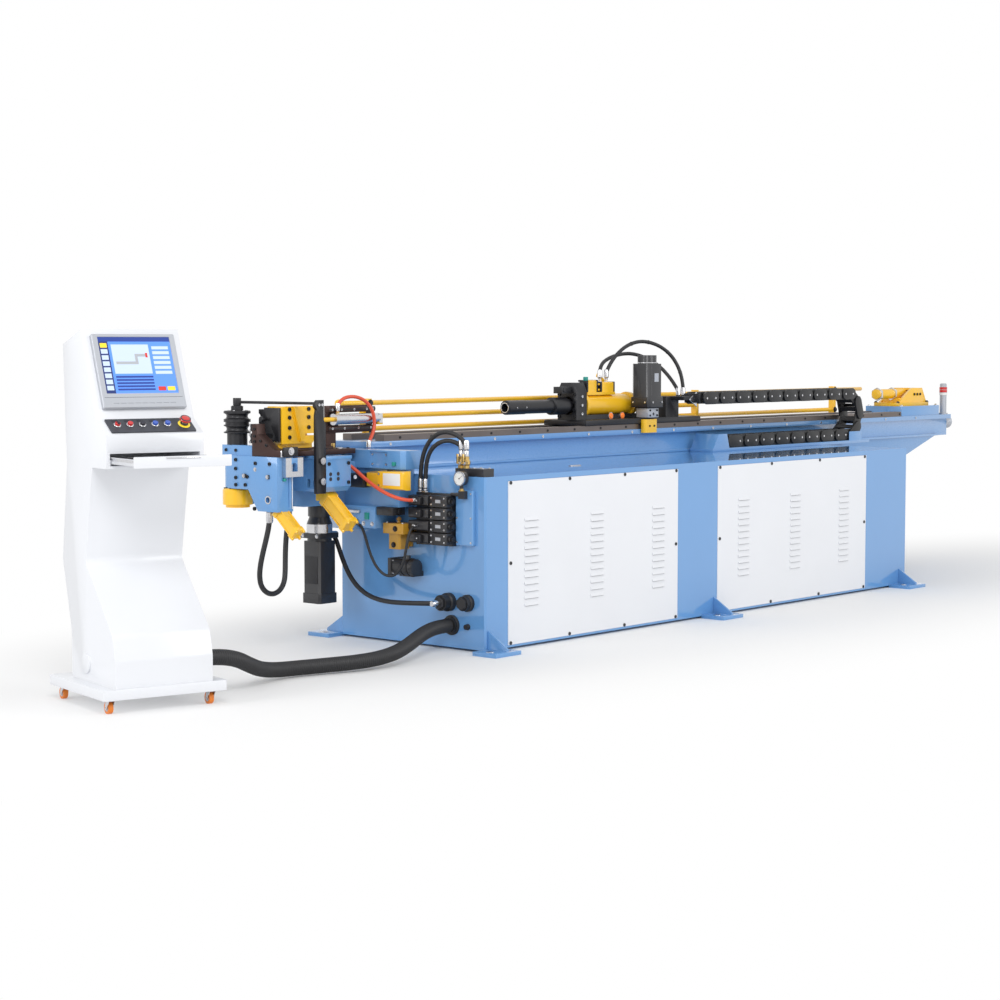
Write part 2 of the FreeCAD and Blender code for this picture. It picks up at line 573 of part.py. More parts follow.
def pressure_die():
    """Long grooved die with a hooked nose, a notch under it and a round knob."""
    z0 = TUBE_Z - 127
    block = box(-655, -455, HOLDER_Y[1], 900, z0, TUBE_Z + 35)
    head = box(-655, HOLDER_X[0], HOLDER_Y[0] + 6, HOLDER_Y[1], z0 + 6, TUBE_Z + 43)
    knob = turned_x([(-655, 8), (-674, 8), (-676, 13), (-698, 13), (-698, 0), (-655, 0)], 840, TUBE_Z - 11)
    notch = box(-656, -644, 800, 901, TUBE_Z - 104, TUBE_Z - 84)
    shape = join([block, head, knob]).cut(notch)
    for z in (TUBE_Z, GROOVE_2_Z):
        shape = shape.cut(rod_x(-760, -400, 902, z, TUBE_R))
    return shape


def bend_arm():
    """Hollow welded arm on its round hub, with the seat block under the bend die."""
    x0 = AXIS_X + ARM_SHIFT - ARM_W / 2
    x1 = x0 + ARM_W
    low = ARM_HUB_Z0
    side = [(AXIS_Y, ARM_TOP), (ARM_END_Y, ARM_TOP), (ARM_END_Y, ARM_FOOT_Z), (788, ARM_FOOT_Z)]
    side += [(855, low), (AXIS_Y, low)]
    body = prism_x(side, x0, x1)
    r = ARM_HUB_R
    hub = turned_z([(0, low), (r - 5, low), (r, low + 5), (r, ARM_TOP - 4), (r - 4, ARM_TOP), (0, ARM_TOP)], AXIS_X, AXIS_Y)
    seat = box(AXIS_X - 47, AXIS_X + 38, CLAMP_FACE_Y + 2, AXIS_Y + 58, ARM_TOP, ARM_TOP + SEAT_BLOCK_H)
    block = box(AXIS_X - 34, AXIS_X + 78, ARM_END_Y - 28, ARM_END_Y, ARM_TOP - 96, ARM_TOP - 5)
    throat = join([box(AXIS_X + 2, AXIS_X + 42, ARM_END_Y - 29, ARM_END_Y, ARM_TOP - 97, ARM_TOP - 48),
                   rod_y(ARM_END_Y - 29, ARM_END_Y, AXIS_X + 22, ARM_TOP - 48, 20)])
    gland = box(x0 + 15, x1 - 15, 736, 782, ARM_FOOT_Z, ARM_FOOT_Z + 14)
    shape = join([body, hub, seat, block.cut(throat)])
    wall = ARM_WALL
    hollow = box(x0 + wall, x1 - wall, ARM_END_Y + wall, 860, ARM_FOOT_Z - 14, ARM_TOP - 38)
    trough = box(x0 + wall, x1 - wall, ARM_END_Y + wall, CLAMP_FACE_Y - 2, ARM_TOP - 43, ARM_TOP + 1)
    bore = rod_z(low - 1, ARM_TOP - 2, AXIS_X, AXIS_Y, PIVOT_R + RUN_GAP)
    eye = rod_x(x0 - 1, x1 + 1, 714, ARM_FOOT_Z + 57, 14)
    groove = box(x1 - 30, x1 - 24, ARM_END_Y - 1, ARM_END_Y + 9, ARM_FOOT_Z + 20, ARM_TOP - 20)
    shape = shape.cut(hollow).cut(trough).cut(bore).cut(eye).cut(groove)
    return join([shape, gland])


def bend_die():
    """Stacked bend die turned in one piece: its post, a groove, a collar and a second groove."""
    r = DIE_FLANGE_R
    z0, z1 = DIE_BASE_Z, DIE_TOP_Z
    side = [(0, z0), (r - 3, z0), (r, z0 + 3), (r, GROOVE_2_Z - TUBE_R), (r, TUBE_Z - 27), (r, TUBE_Z - 15)]
    side += [(r, z1 - 3), (r - 3, z1), (30, z1), (30, z1 + DIE_BOSS_H), (0, z1 + DIE_BOSS_H)]
    blank = turned_z(side, AXIS_X, AXIS_Y)
    for z in (TUBE_Z, GROOVE_2_Z):
        ring = Part.makeTorus(DIE_CLR + 4, TUBE_R, V(AXIS_X, AXIS_Y, z), V(0, 0, 1))
        blank = blank.cut(ring)
    middle = turned_z([(r - 8, GROOVE_2_Z + 20), (r + 1, GROOVE_2_Z + 20), (r + 1, TUBE_Z - 28), (r - 8, TUBE_Z - 28)],
                      AXIS_X, AXIS_Y)
    pin = rod_z(z1 + DIE_BOSS_H, z1 + 44, AXIS_X, AXIS_Y, 10)
    post = rod_z(ARM_TOP + SEAT_BLOCK_H, z0, AXIS_X, AXIS_Y, DIE_POST_R)
    return join([blank.cut(middle), pin, post])


def clamp_slide():
    """Sliding clamp holder: a raking back, a notched tail, a nose and cheek that pass the seat
    block, and the tongue in the arm's trough."""
    z0 = ARM_TOP + SEAT_GAP
    deck = ARM_TOP + 34
    foot = CLAMP_FACE_Y - CLAMP_STROKE - 4
    nose = ARM_TOP + SEAT_BLOCK_H + 6
    base = box(CLAMP_X[0], CLAMP_BASE_X1, CLAMP_BACK_Y, foot, z0, deck)
    side = [(CLAMP_BACK_Y + 30, deck), (foot, deck), (foot, nose), (CLAMP_FACE_Y, nose), (CLAMP_FACE_Y, CLAMP_TOP)]
    side += [(CLAMP_FACE_Y - 34, CLAMP_TOP), (CLAMP_FACE_Y - 38, CLAMP_TOP - 48), (CLAMP_BACK_Y + 60, deck + 10)]
    body = prism_x(side, *CLAMP_X)
    cheek = box(CLAMP_X[0], CLAMP_X[0] + 8, foot, CLAMP_FACE_Y, z0, nose)
    middle = AXIS_X + ARM_SHIFT
    tongue = box(middle - 30, middle + 30, 690, foot - 6, ARM_TOP - 32, z0)
    notch = join([rod_z(z0 - 1, deck + 1, middle, CLAMP_BACK_Y + 26, 15),
                  box(middle - 15, middle + 15, CLAMP_BACK_Y - 1, CLAMP_BACK_Y + 26, z0 - 1, deck + 1)])
    return join([base, body, cheek, tongue]).cut(notch)


def clamp_die():
    """Two inserts bolted to the clamp holder, each with its half groove for the tube."""
    x0, x1 = CLAMP_X
    y0, y1 = CLAMP_FACE_Y, CLAMP_FACE_Y + INSERT_T
    low = box(x0, x1, y0, y1, CLAMP_TOP - 94, CLAMP_TOP - 46)
    high = box(x0, x1, y0, y1, CLAMP_TOP - 36, CLAMP_TOP)
    low = low.cut(rod_x(x0 - 1, x1 + 1, y1 + 3, CLAMP_TOP - 70, TUBE_R))
    high = high.cut(rod_x(x0 - 1, x1 + 1, y1 + 3, CLAMP_TOP - 18, TUBE_R))
    return Part.Compound([low, high])


def clamp_cylinder():
    """Cylinder under the arm's end that drives the clamp."""
    shape = slant_cylinder(AXIS_X + ARM_SHIFT, (694, ARM_FOOT_Z + 8), 170, 24)
    return shape.cut(box(-900, -500, ARM_END_Y, 900, ARM_FOOT_Z, ARM_FOOT_Z + 196))


def valve_stack():
    """Four stacked solenoid valves on the end wall and two more on the head."""
    valves = []
    low = CAB_H - 347
    spine = box(-30, 0, 190, 430, low, low + 259)
    for i in range(4):
        z = low + 8 + i * 62
        body = box(-70, -8, 192, 305, z, z + 56)
        coil = box(-78, -8, 309, 440, z + 3, z + 53)
        coil = coil.makeChamfer(6, edges_along(coil, V(0, 1, 0), lambda p: p.x < -20))
        cap = rod_y(180, 192, -42, z + 28, 16)
        neck = rod_y(305, 309, -42, z + 28, 20)
        valves += [body, coil, cap, neck]
    stack = join([spine] + valves)
    ports = [rod_z(low + 259, low + 277, -20, y, 12) for y in (377.0, 411.0)]
    stack = join([stack] + ports)
    top = FLANGE_Z[0]
    upper = box(HEAD_FACE_X - 74, HEAD_FACE_X, 650, 752, top - 188, top - 118)
    upper = upper.makeChamfer(8, edges_along(upper, V(0, 1, 0), lambda p: p.x < HEAD_FACE_X - 40))
    lower = box(HEAD_FACE_X - 38, HEAD_FACE_X + 52, 480, 590, top - 322, top - 282)
    return Part.Compound([stack, upper, lower])


def auxiliary_cylinder():
    """Square cylinder standing on the end wall, with its cap block, tie rods and screw."""
    top = CAB_H - 245
    y0, y1 = 481.0, 563.0
    body = box(-98, -20, y0, y1, top - 130, top - 52)
    body = body.makeChamfer(9, edges_along(body, V(0, 0, 1), lambda p: True))
    cap = box(-110, -8, y0 - 35, y1 + 21, top - 52, top)
    screw = rod_z(top, top + 30, -59, 522, 8)
    nut = rod_z(top + 14, top + 24, -59, 522, 13)
    wall = box(-20, 0, y0, y1, top - 120, top - 10)
    return join([body, cap, screw, nut, wall])


def pump_unit():
    """Gear pump below the cylinder, lying along the end wall on its flange."""
    top = CAB_H - 375
    y, z = 400.0, top - 88
    body = rod_y(y, y + 130, -62, z, 42)
    flange = box(-112, 0, y + 130, y + 150, z - 44, z + 44)
    foot_b = box(-80, 0, y + 10, y + 100, z - 46, z - 20)
    port = rod_z(z + 30, z + 58, -62, y + 60, 16)
    return join([body, flange, foot_b, port])


def cable_glands():
    """Round cable entries low on the end wall, the largest for the console's conduit."""
    glands = []
    for x, y, z, r in GLANDS:
        side = [(0, 0), (0, r), (0.35 * x, r), (0.45 * x, 0.86 * r), (x, 0.86 * r), (x, 0)]
        glands.append(turned_x(side, y, z))
    return Part.Compound(glands)


def pressure_gauge():
    """Manifold on the cabinet's top with two ball valves, and the gauge on its elbow."""
    top = CAB_H
    block = box(14, 92, 24, 208, top, top + 38)
    parts = [block]
    for y in (144.0, 177.0):
        parts.append(rod_z(top + 38, top + 92, 24, y, 13))
        parts.append(rod_z(top + 92, top + 126, 24, y, 10))
        parts.append(rod_x(11, 37, y, top + 66, 16))
    gauge = [rod_z(top - 70, top - 8, -35, GAUGE_Y, 9)]
    gauge.append(box(-48, -22 - SEAT_GAP, GAUGE_Y - 27, GAUGE_Y + 11, top - 108, top - 70))
    gauge.append(rod_y(GAUGE_Y + 11, 190 - SEAT_GAP, -35, top - 89, 9))
    gauge.append(turned_x([(-52, 0), (-52, 33), (-48, 36), (-24, 36), (-20, 30), (-20, 0)], GAUGE_Y, top - 8))
    return Part.Compound([join(parts), join(gauge)])


def bar_frame():
    """Three round bars behind the bed on upright plates; the top one ends in a ball."""
    bars = [rod_x(x0, x1, BAR_Y, z, BAR_R) for x0, x1, z in BARS]
    top = BARS[0][2]
    ball = Part.makeSphere(BAR_R + 9, V(BARS[0][0], BAR_Y, top))
    plates = []
    for x in (330.0, 4930.0):
        plates.append(box(x, x + 24, BAR_Y - 22, BAR_Y + 22, FLANGE_Z[0] + 3, top + 23))
        plates.append(box(x, x + 24, FLANGE_Y[1], BAR_Y - 22, FLANGE_Z[0] + 3, FLANGE_Z[1] - 2))
    middle = box(3306, 3330, BAR_Y - 20, BAR_Y + 22, BARS[2][2] - 22, top + 23)
    rib = prism_y([(280, BARS[1][2]), (330, FLANGE_Z[1]), (330, top)], BAR_Y + 6, BAR_Y + 14)
    return join(bars + plates + [middle, ball, rib])


def chain_joints():
    """Joint centres of the chain in X and Z, from the carriage end round to the fixed end."""
    turn = math.pi / CHAIN_TURNS
    x = CHAIN_X - CHAIN_UPPER * LINK_PITCH
    z = CHAIN_TOP_Z
    joints = [(x, z)]
    for i in range(CHAIN_UPPER):
        x += LINK_PITCH
        joints.append((x, z))
    for i in range(1, CHAIN_TURNS):
        x += LINK_PITCH * math.cos(-i * turn)
        z += LINK_PITCH * math.sin(-i * turn)
        joints.append((x, z))
    for i in range(CHAIN_LOWER):
        x -= LINK_PITCH
        joints.append((x, z))
    return joints


def chain_link(a, b, inset):
    """One link: two side plates joined by an upper and a lower cross bar."""
    half = LINK_H / 2
    lean = 0.7 * half
    left = -LINK_PITCH / 2
    right = LINK_PITCH / 2
    outline = [(left, -half), (right, -half), (right + lean, -lean), (right + half, 0)]
    outline += [(right + lean, lean), (right, half), (left, half), (left - lean, lean)]
    outline += [(left - half, 0), (left - lean, -lean)]
    y0 = CHAIN_Y[0] + inset
    y1 = CHAIN_Y[1] - inset
    sides = [prism_y(outline, y0, y0 + LINK_T), prism_y(outline, y1 - LINK_T, y1)]
    for z in (-half + 3, half - 11):
        sides.append(box(-16, 16, y0 + LINK_T, y1 - LINK_T, z, z + 8))
    link = join(sides)
    angle = math.degrees(math.atan2(b[1] - a[1], b[0] - a[0]))
    link.rotate(V(0, 0, 0), V(0, 1, 0), -angle)
    link.translate(V((a[0] + b[0]) / 2, 0, (a[1] + b[1]) / 2))
    return link


def energy_chain():
    joints = chain_joints()
    links = []
    for i in range(len(joints) - 1):
        inset = (i % 2) * (LINK_T + SEAT_GAP)
        links.append(chain_link(joints[i], joints[i + 1], inset))
    return Part.Compound(links)


def chain_tray():
    """Trough under the chain: floor, low cheeks, a raked end panel and the chain's anchor."""
    low = chain_joints()[-1][1] - LINK_H / 2
    x0, x1 = 2790.0, CHAIN_X + 190.0
    lip = CAB_H + TRAY_LIP
    y0, y1 = CHAIN_Y[0] - 12, FLANGE_Y[0] - 1
    floor = box(x0, x1, y0, y1, CAB_H, low - SEAT_GAP)
    post = box(x0 + 100, x0 + 178, 660, 750, low - SEAT_GAP, low + 60)
    front = prism_y([(x0 + 2, CAB_H), (x0 + 180, CAB_H), (x0 + 150, lip), (x0 + 62, lip)], y0, y0 + 4)
    front_2 = box(CHAIN_X - 60, CHAIN_X + 90, y0, y0 + 4, CAB_H, lip - 28)
    end = prism_y([(x0, CAB_H), (x0 + 4, CAB_H), (x0 + 64, lip), (x0 + 60, lip)], y0, y1)
    return join([floor, front, front_2, end, post])


def carriage_base():
    """Carriage plate with the spindle's saddle and yoke, the drive's riser and the chain post."""
    z1 = CAR_Z + CAR_T
    plate = box(*CAR_X, FLANGE_Y[0] - 6, FLANGE_Y[1] - 4, CAR_Z, z1)
    plate = plate.makeChamfer(8, edges_along(plate, V(0, 1, 0), lambda p: p.z > z1 - 1))
    cheek = box(1895, 2400, 880, 1000, z1, TUBE_Z - 55)
    riser = box(FEED_X - 46, FEED_X + 46, FEED_Y - 46, FEED_Y + 46, z1, FEED_Z0)
    block = box(2550, 2600, 796, 880, z1, CHAIN_TOP_Z + 13)
    crown = TUBE_Z + 132
    y0, y1 = TUBE_Y - 70, TUBE_Y + 70
    yoke = prism_x([(y0, z1), (y1, z1), (y1, crown - 49), (y1 - 25, crown), (y0 + 25, crown), (y0, crown - 49)],
                   1790, 1885)
    hole = rod_x(1780, 1890, TUBE_Y, TUBE_Z, SPINDLE_R + 12)
    fork = join([box(1700, 1792, TUBE_Y - 34, TUBE_Y + 28, crown - 60, crown - 22),
                 rod_y(TUBE_Y - 40, TUBE_Y + 34, 1722, crown - 41, 12)])
    tip = chain_joints()[0][0] - LINK_H / 2 - SEAT_GAP
    post = box(2600, 2680, 796, 812, z1, CHAIN_TOP_Z + 13)
    arm = box(2600, tip, 700, 812, CHAIN_TOP_Z - 11, CHAIN_TOP_Z + 13)
    hand = box(tip - 20, tip, 650, 760, CHAIN_TOP_Z - 27, CHAIN_TOP_Z + 29)
    return join([plate, cheek, riser, block, yoke.cut(hole), fork, post, arm, hand])


def pinion_cover():
    """Rounded guard over the feed pinion, in front of the flange."""
    y1 = FLANGE_Y[0] - 6 - SEAT_GAP
    body = box(FEED_X - 64, FEED_X + 64, FLANGE_Y[0] - 38, y1, FLANGE_Z[0] + 8, CAR_Z + 24)
    return body.makeFillet(24, edges_along(body, V(0, 0, 1), lambda p: p.y < y1 - 1))


def spindle_housing():
    """Bored housing with end flanges and a flat foot on the saddle."""
    x0, x1 = HOUSING_X
    r = HOUSING_R
    side = [(x0, SPINDLE_R + RUN_GAP), (x0, r + 14), (x0 + 26, r + 14), (x0 + 32, r), (x1 - 32, r)]
    side += [(x1 - 26, r + 14), (x1, r + 14), (x1, SPINDLE_R + RUN_GAP)]
    body = turned_x(side, TUBE_Y, TUBE_Z)
    flat = box(x0 - 1, x1 + 1, TUBE_Y - 90, TUBE_Y + 90, TUBE_Z - 90, TUBE_Z - 55)
    return body.cut(flat)


def spindle():
    """Hollow spindle with its collet nose, a rear collar and a through bore."""
    x0, x1 = SPINDLE_X
    r = SPINDLE_R
    b = SPINDLE_BORE_R
    side = [(x0, b), (x0, r - 9), (x0 + 5, r), (x0 + 160, r), (x0 + 163, r - 2), (x0 + 395, r - 2), (x0 + 398, 50)]
    side += [(x0 + 520, 50), (x0 + 528, r - 0.02), (x1, r - 0.02), (x1, b)]
    return turned_x(side, TUBE_Y, TUBE_Z)


def chuck_cylinder():
    """Clamping cylinder on the housing's back, its rod joined to the yoke's clevis."""
    top = TUBE_Z + HOUSING_R + SEAT_GAP
    y0, y1 = TUBE_Y - 35, TUBE_Y + 30
    base = box(1930, 2190, y0 - 5, y1 + 5, top, top + 17)
    front = box(1930, 2030, y0, y1, top + 17, top + 87)
    rear = box(2060, 2190, y0, y1, top + 17, top + 75)
    block = [part.makeChamfer(7, edges_along(part, V(1, 0, 0), lambda p: p.z > top + 60)) for part in (front, rear)]
    shaft = rod_x(1885 + SEAT_GAP, 1930, TUBE_Y - 3, TUBE_Z + 91, 11)
    ties = [rod_x(2030, 2060, y, top + z, 6) for y in (y0 + 12, y1 - 12) for z in (30, 62)]
    ports = [rod_z(top + 75, top + 96, x, TUBE_Y - 3, 9) for x in (2090.0, 2150.0)]
    return join([base] + block + [shaft] + ties + ports)


def feed_motor():
    """Upright servomotor: flange, ribbed square body, round encoder cap and its connector."""
    x, y = FEED_X, FEED_Y
    flange = box(x - 74, x + 74, y - 74, y + 74, FEED_Z0, FEED_Z0 + 60)
    body = box(x - 70, x + 70, y - 70, y + 70, FEED_Z0 + 60, FEED_Z0 + 256)
    flange = flange.makeChamfer(16, edges_along(flange, V(0, 0, 1), lambda p: True))
    body = body.makeChamfer(24, edges_along(body, V(0, 0, 1), lambda p: True))
    cap = rod_z(FEED_Z0 + 256, FEED_Z0 + 306, x, y, 56)
    plug = box(x + 70, x + 108, y - 22, y + 22, FEED_Z0 + 190, FEED_Z0 + 240)
    return join([flange, body, cap, plug])


def mandrel_unit():
    """Mandrel anchor on the rear pad: two raking cheeks about a barrel."""
    z0 = FLANGE_Z[1] + REAR_PAD_H
    x = REAR_PAD_X[0]
    base = box(x + 30, x + 455, 850, 1040, z0, z0 + 24)
    side = [(x + 65, z0 + 24), (x + 445, z0 + 24), (x + 385, z0 + 124), (x + 245, z0 + 124)]
    plates = [prism_y(side, y, y + 18) for y in (862.0, 1010.0)]
    cap = box(x + 245, x + 385, 862, 1028, z0 + 110, z0 + 124)
    barrel = rod_x(x - 115, x + 325, TUBE_Y, TUBE_Z + 8, 34)
    lugs = box(x + 100, x + 200, 880, 1010, z0 + 24, TUBE_Z - 20)
    return join([base, cap, barrel, lugs] + plates)


def signal_tower():
    """Signal light on the bed's rear end and the horn on its end face."""
    x, y = BED_X1 - 45, 830.0
    z = FLANGE_Z[1]
    side = [(0, z), (34, z), (34, z + 8), (24, z + 8), (24, z + 138), (27, z + 140), (27, z + 193)]
    side += [(24, z + 195), (24, z + 214), (18, z + 220), (0, z + 220)]
    tower = turned_z(side, x, y)
    bell = [(0, 0), (0, 36), (22, 36), (30, 30), (60, 46), (60, 0)]
    horn_body = turned_x([(BED_X1 + along, radius) for along, radius in bell], 860, FLANGE_Z[0] - 27)
    return Part.Compound([tower, horn_body])


def in_console(shape):
    """Stand a shape drawn in the console's own axes on the floor beside the bend head."""
    turn = FreeCAD.Rotation(V(0, 0, 1), CON_YAW)
    shape.Placement = FreeCAD.Placement(V(CON_X, CON_Y, 0), turn).multiply(shape.Placement)
    return shape


def console_housing():
    """Base plate and folded column that leans back, then forward under the wedge-shaped head."""
    z0 = CON_PLATE_Z[1]
    back = [(455, z0), (455, 300), (540, 600), (482, 1000), (508, 1508)]
    front = [(318, 1570), (170, 1200), (80, 1140), (80, 1000), (222, 1000), (300, 600), (40, 320), (15, 215), (15, z0)]
    body = prism_x(back + front, *COL_X)
    bends = edges_along(body, V(1, 0, 0), lambda p: 200 < p.z < 700)
    body = body.makeFillet(CON_BEND_R, bends)
    slot = box(COL_X[0] + 18, COL_X[1] - 18, 70, 420, 1012, 1062)
    ledges = []
    for x0, x1 in ((COL_X[0] + 17, COL_X[0] + 24 - RUN_GAP), (COL_X[1] - 24 + RUN_GAP, COL_X[1] - 17)):
        ledges.append(box(x0, x1, 86, 420, 1014, 1036))
    exit_ring = rod_x(COL_X[1], COL_X[1] + CONDUIT_COLLAR, 200, CONDUIT[0][2], CONDUIT_D / 2 + 9)
    grommet = rod_x(COL_X[0] - 7, COL_X[0], 300, 180, 42)
    base = box(0, CON_W, 0, CON_D, *CON_PLATE_Z)
    base = base.makeFillet(6, edges_along(base, V(0, 0, 1), lambda p: True))
    return in_console(join([body.cut(slot), base] + ledges + [exit_ring, grommet]))


def monitor():
    """Screen let into the leaning face, with its bezel and a ventilated lower strip."""
    lean = math.atan2(148.0, 370.0)
    up = V(0, math.sin(lean), math.cos(lean))
    frame = Part.makeBox(376, 20, 330, V(-188, -20, -165))
    frame = frame.makeFillet(6, edges_along(frame, V(0, 1, 0), lambda p: True))
    frame = frame.makeChamfer(4, edges_along(frame, V(1, 0, 0), lambda p: p.y < -19))
    window = Part.makeBox(326, 4, 252, V(-163, -21, -100))
    shape = frame.cut(window)
    for i in range(9):
        shape = shape.cut(Part.makeBox(22, 3, 4, V(-140 + i * 32, -21, -146)))
    turn = FreeCAD.Rotation(V(1, 0, 0), -math.degrees(lean))
    middle = V(277, 170, 1200) + up * 205
    shape.Placement = FreeCAD.Placement(middle, turn)
    return in_console(shape)


def button_plate():
    """Control plate with its selector, four push buttons and the large stop button."""
    lean = math.atan2(90.0, 60.0)
    plate = Part.makeBox(380, 6, 92, V(-190, -6, -46))
    plate = plate.makeFillet(5, edges_along(plate, V(0, 1, 0), lambda p: True))
    knobs = []
    for i in range(5):
        x = -150 + i * 56
        knobs.append(rod_y(-12, -6, x, 0, 15))
        knobs.append(rod_y(-20, -12, x, 0, 11))
    knobs.append(box(-154, -146, -30, -20, -11, 11))
    knobs.append(rod_y(-14, -6, 150, 0, 17))
    knobs.append(rod_y(-26, -14, 150, 0, 12))
    knobs.append(rod_y(-38, -26, 150, 0, 22))
    shape = join([plate] + knobs)
    turn = FreeCAD.Rotation(V(1, 0, 0), -math.degrees(lean))
    shape.Placement = FreeCAD.Placement(V(277, 125, 1170), turn)
    return in_console(shape)


def keyboard_drawer():
    """Drawer on its two runners, with a folded front."""
    x0, x1 = COL_X[0] + 24, COL_X[1] - 24
    y0 = DRAWER_FRONT - DRAWER_OUT
    tray = box(x0, x1, y0, y0 + 300, 1020, 1030)
    front = box(x0 - 20, x1 + 20, y0 - 6, y0, 1014, 1060)
    front = front.makeFillet(4, edges_along(front, V(0, 1, 0), lambda p: True))
    runners = [box(x, x + 6, y0, y0 + 300, 1030, 1048) for x in (x0, x1 - 6)]
    return in_console(join([tray, front] + runners))


def keyboard():
    """Keyboard with a raised rear edge and its block of keys."""
    x0, x1 = COL_X[0] + 36, COL_X[1] - 36
    y0 = DRAWER_FRONT - DRAWER_OUT + 20
    case = prism_x([(y0, 1030), (y0 + 140, 1030), (y0 + 140, 1046), (y0, 1039)], x0, x1)
    rows = []
    for row in range(5):
        y = y0 + 14 + row * 24
        z = 1040 + row * 1.2
        rows.append(box(x0 + 10, x1 - 10, y, y + 18, 1034, z + 5))
    return in_console(join([case] + rows))


CASTERS = {"front_left": (50.0, 50.0), "front_right": (CON_W - 50.0, 50.0),
           "back_left": (50.0, CON_D - 50.0), "back_right": (CON_W - 50.0, CON_D - 50.0)}


def caster_fork(name):
    x, y = CASTERS[name]
    plate = rod_z(CON_PLATE_Z[0] - 6, CON_PLATE_Z[0] - SEAT_GAP, x, y, 22)
    cheeks = []
    for dx in (-15.0, 12.0):
        outline = [(y - 14, 56), (y + 14, 56), (y + CASTER_TRAIL + 8, 18), (y + CASTER_TRAIL - 8, 18)]
        cheeks.append(prism_x(outline, x + dx, x + dx + 3))
    axle = rod_x(x - 16, x + 16, y + CASTER_TRAIL, WHEEL_R, AXLE_R)
    return in_console(join([plate] + cheeks + [axle]))


def caster_wheel(name):
    x, y = CASTERS[name]
    tread = rod_x(x - WHEEL_W / 2, x + WHEEL_W / 2, y + CASTER_TRAIL, WHEEL_R, WHEEL_R)
    bore = rod_x(x - WHEEL_W, x + WHEEL_W, y + CASTER_TRAIL, WHEEL_R, AXLE_R + RUN_GAP)
    return in_console(tread.cut(bore))


def cord(name):
    """One flexible line, as a plain tube along its route."""
    diameter, points = CORDS[name]
    return tube_along(points, diameter)


NODES = {
    "cabinet": cabinet, "access_panels": access_panels, "leveling_feet": leveling_feet,
    "bed_beam": bed_beam, "guide_ways": guide_ways, "head_frame": head_frame, "bend_drum": drum,
    "bend_drive_motor": bend_drive, "drive_cover": drive_cover, "pressure_block": pressure_block,
    "tie_post": tie_post, "pressure_cylinder": pressure_cylinder, "pressure_slide": pressure_slide,
    "booster_cylinder": booster_cylinder, "pressure_holder": pressure_holder,
    "pressure_die": pressure_die, "bend_arm": bend_arm, "bend_die": bend_die,
    "clamp_slide": clamp_slide, "clamp_die": clamp_die, "clamp_cylinder": clamp_cylinder,
    "valve_stack": valve_stack, "auxiliary_cylinder": auxiliary_cylinder, "pump_unit": pump_unit,
    "cable_glands": cable_glands, "pressure_gauge": pressure_gauge,
    "support_bars": bar_frame, "energy_chain": energy_chain, "chain_tray": chain_tray,
    "carriage_base": carriage_base, "pinion_cover": pinion_cover,
    "spindle_housing": spindle_housing, "spindle": spindle, "chuck_cylinder": chuck_cylinder,
    "feed_motor": feed_motor, "mandrel_unit": mandrel_unit, "signal_tower": signal_tower,
    "console_housing": console_housing, "monitor": monitor,
    "button_plate": button_plate, "keyboard_drawer": keyboard_drawer, "keyboard": keyboard,
}


def main():
    os.makedirs("parts", exist_ok=True)
    shapes = {name: make() for name, make in NODES.items()}
    for name in CORDS:
        shapes[name] = cord(name)
    for name in CASTERS:
        shapes["caster_fork_" + name] = caster_fork(name)
        shapes["caster_wheel_" + name] = caster_wheel(name)
    for name, shape in shapes.items():
        shape.translate(V(-ORIGIN_X, -ORIGIN_Y, 0))
        shape.exportStep("parts/" + name + ".step")
    overall = Part.Compound(list(shapes.values())).BoundBox
    print("overall", overall)


main()
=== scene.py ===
import json
import math

import bpy
from bpy.props import FloatProperty, FloatVectorProperty, IntProperty, PointerProperty
from mathutils import Matrix, Vector

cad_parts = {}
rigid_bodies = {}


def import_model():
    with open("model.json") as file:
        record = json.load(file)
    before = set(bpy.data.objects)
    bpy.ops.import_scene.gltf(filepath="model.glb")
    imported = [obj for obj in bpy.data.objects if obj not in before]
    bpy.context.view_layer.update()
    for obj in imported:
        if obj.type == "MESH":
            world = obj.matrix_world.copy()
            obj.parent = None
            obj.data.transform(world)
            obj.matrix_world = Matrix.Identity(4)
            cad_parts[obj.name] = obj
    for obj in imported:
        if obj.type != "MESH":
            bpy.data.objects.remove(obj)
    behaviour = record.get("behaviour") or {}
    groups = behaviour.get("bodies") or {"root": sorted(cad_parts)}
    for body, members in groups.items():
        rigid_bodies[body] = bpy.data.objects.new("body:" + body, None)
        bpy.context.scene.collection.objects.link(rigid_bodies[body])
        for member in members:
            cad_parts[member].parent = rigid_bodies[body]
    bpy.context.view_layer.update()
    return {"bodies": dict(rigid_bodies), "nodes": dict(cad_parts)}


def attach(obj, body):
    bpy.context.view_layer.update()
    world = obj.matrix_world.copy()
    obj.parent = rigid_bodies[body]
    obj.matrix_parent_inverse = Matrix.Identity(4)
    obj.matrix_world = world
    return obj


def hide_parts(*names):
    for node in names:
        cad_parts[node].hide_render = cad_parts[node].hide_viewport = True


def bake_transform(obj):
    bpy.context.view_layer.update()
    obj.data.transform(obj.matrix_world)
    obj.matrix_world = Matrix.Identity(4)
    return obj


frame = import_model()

bl_info = {
    "name": "Tube Bending Machine",
    "version": (1, 0, 0),
    "blender": (4, 5, 0),
    "location": "View3D > Sidebar > Bender",
    "description": "Dresses the packed frame of a tube bending machine and its console",
    "category": "Add Mesh",
}

# The machine's datum, in millimetres: the cabinet's head end, its operator side and the floor.
DATUM_X = 1841.0
DATUM_Y = 417.0

# The console's corner and turn, and the lean of its screen and button plate
CON_X = -2367.0
CON_Y = -21.0
CON_YAW = math.radians(-15.0)
SCREEN_LEAN = math.atan2(148.0, 370.0)
PLATE_LEAN = math.atan2(90.0, 60.0)


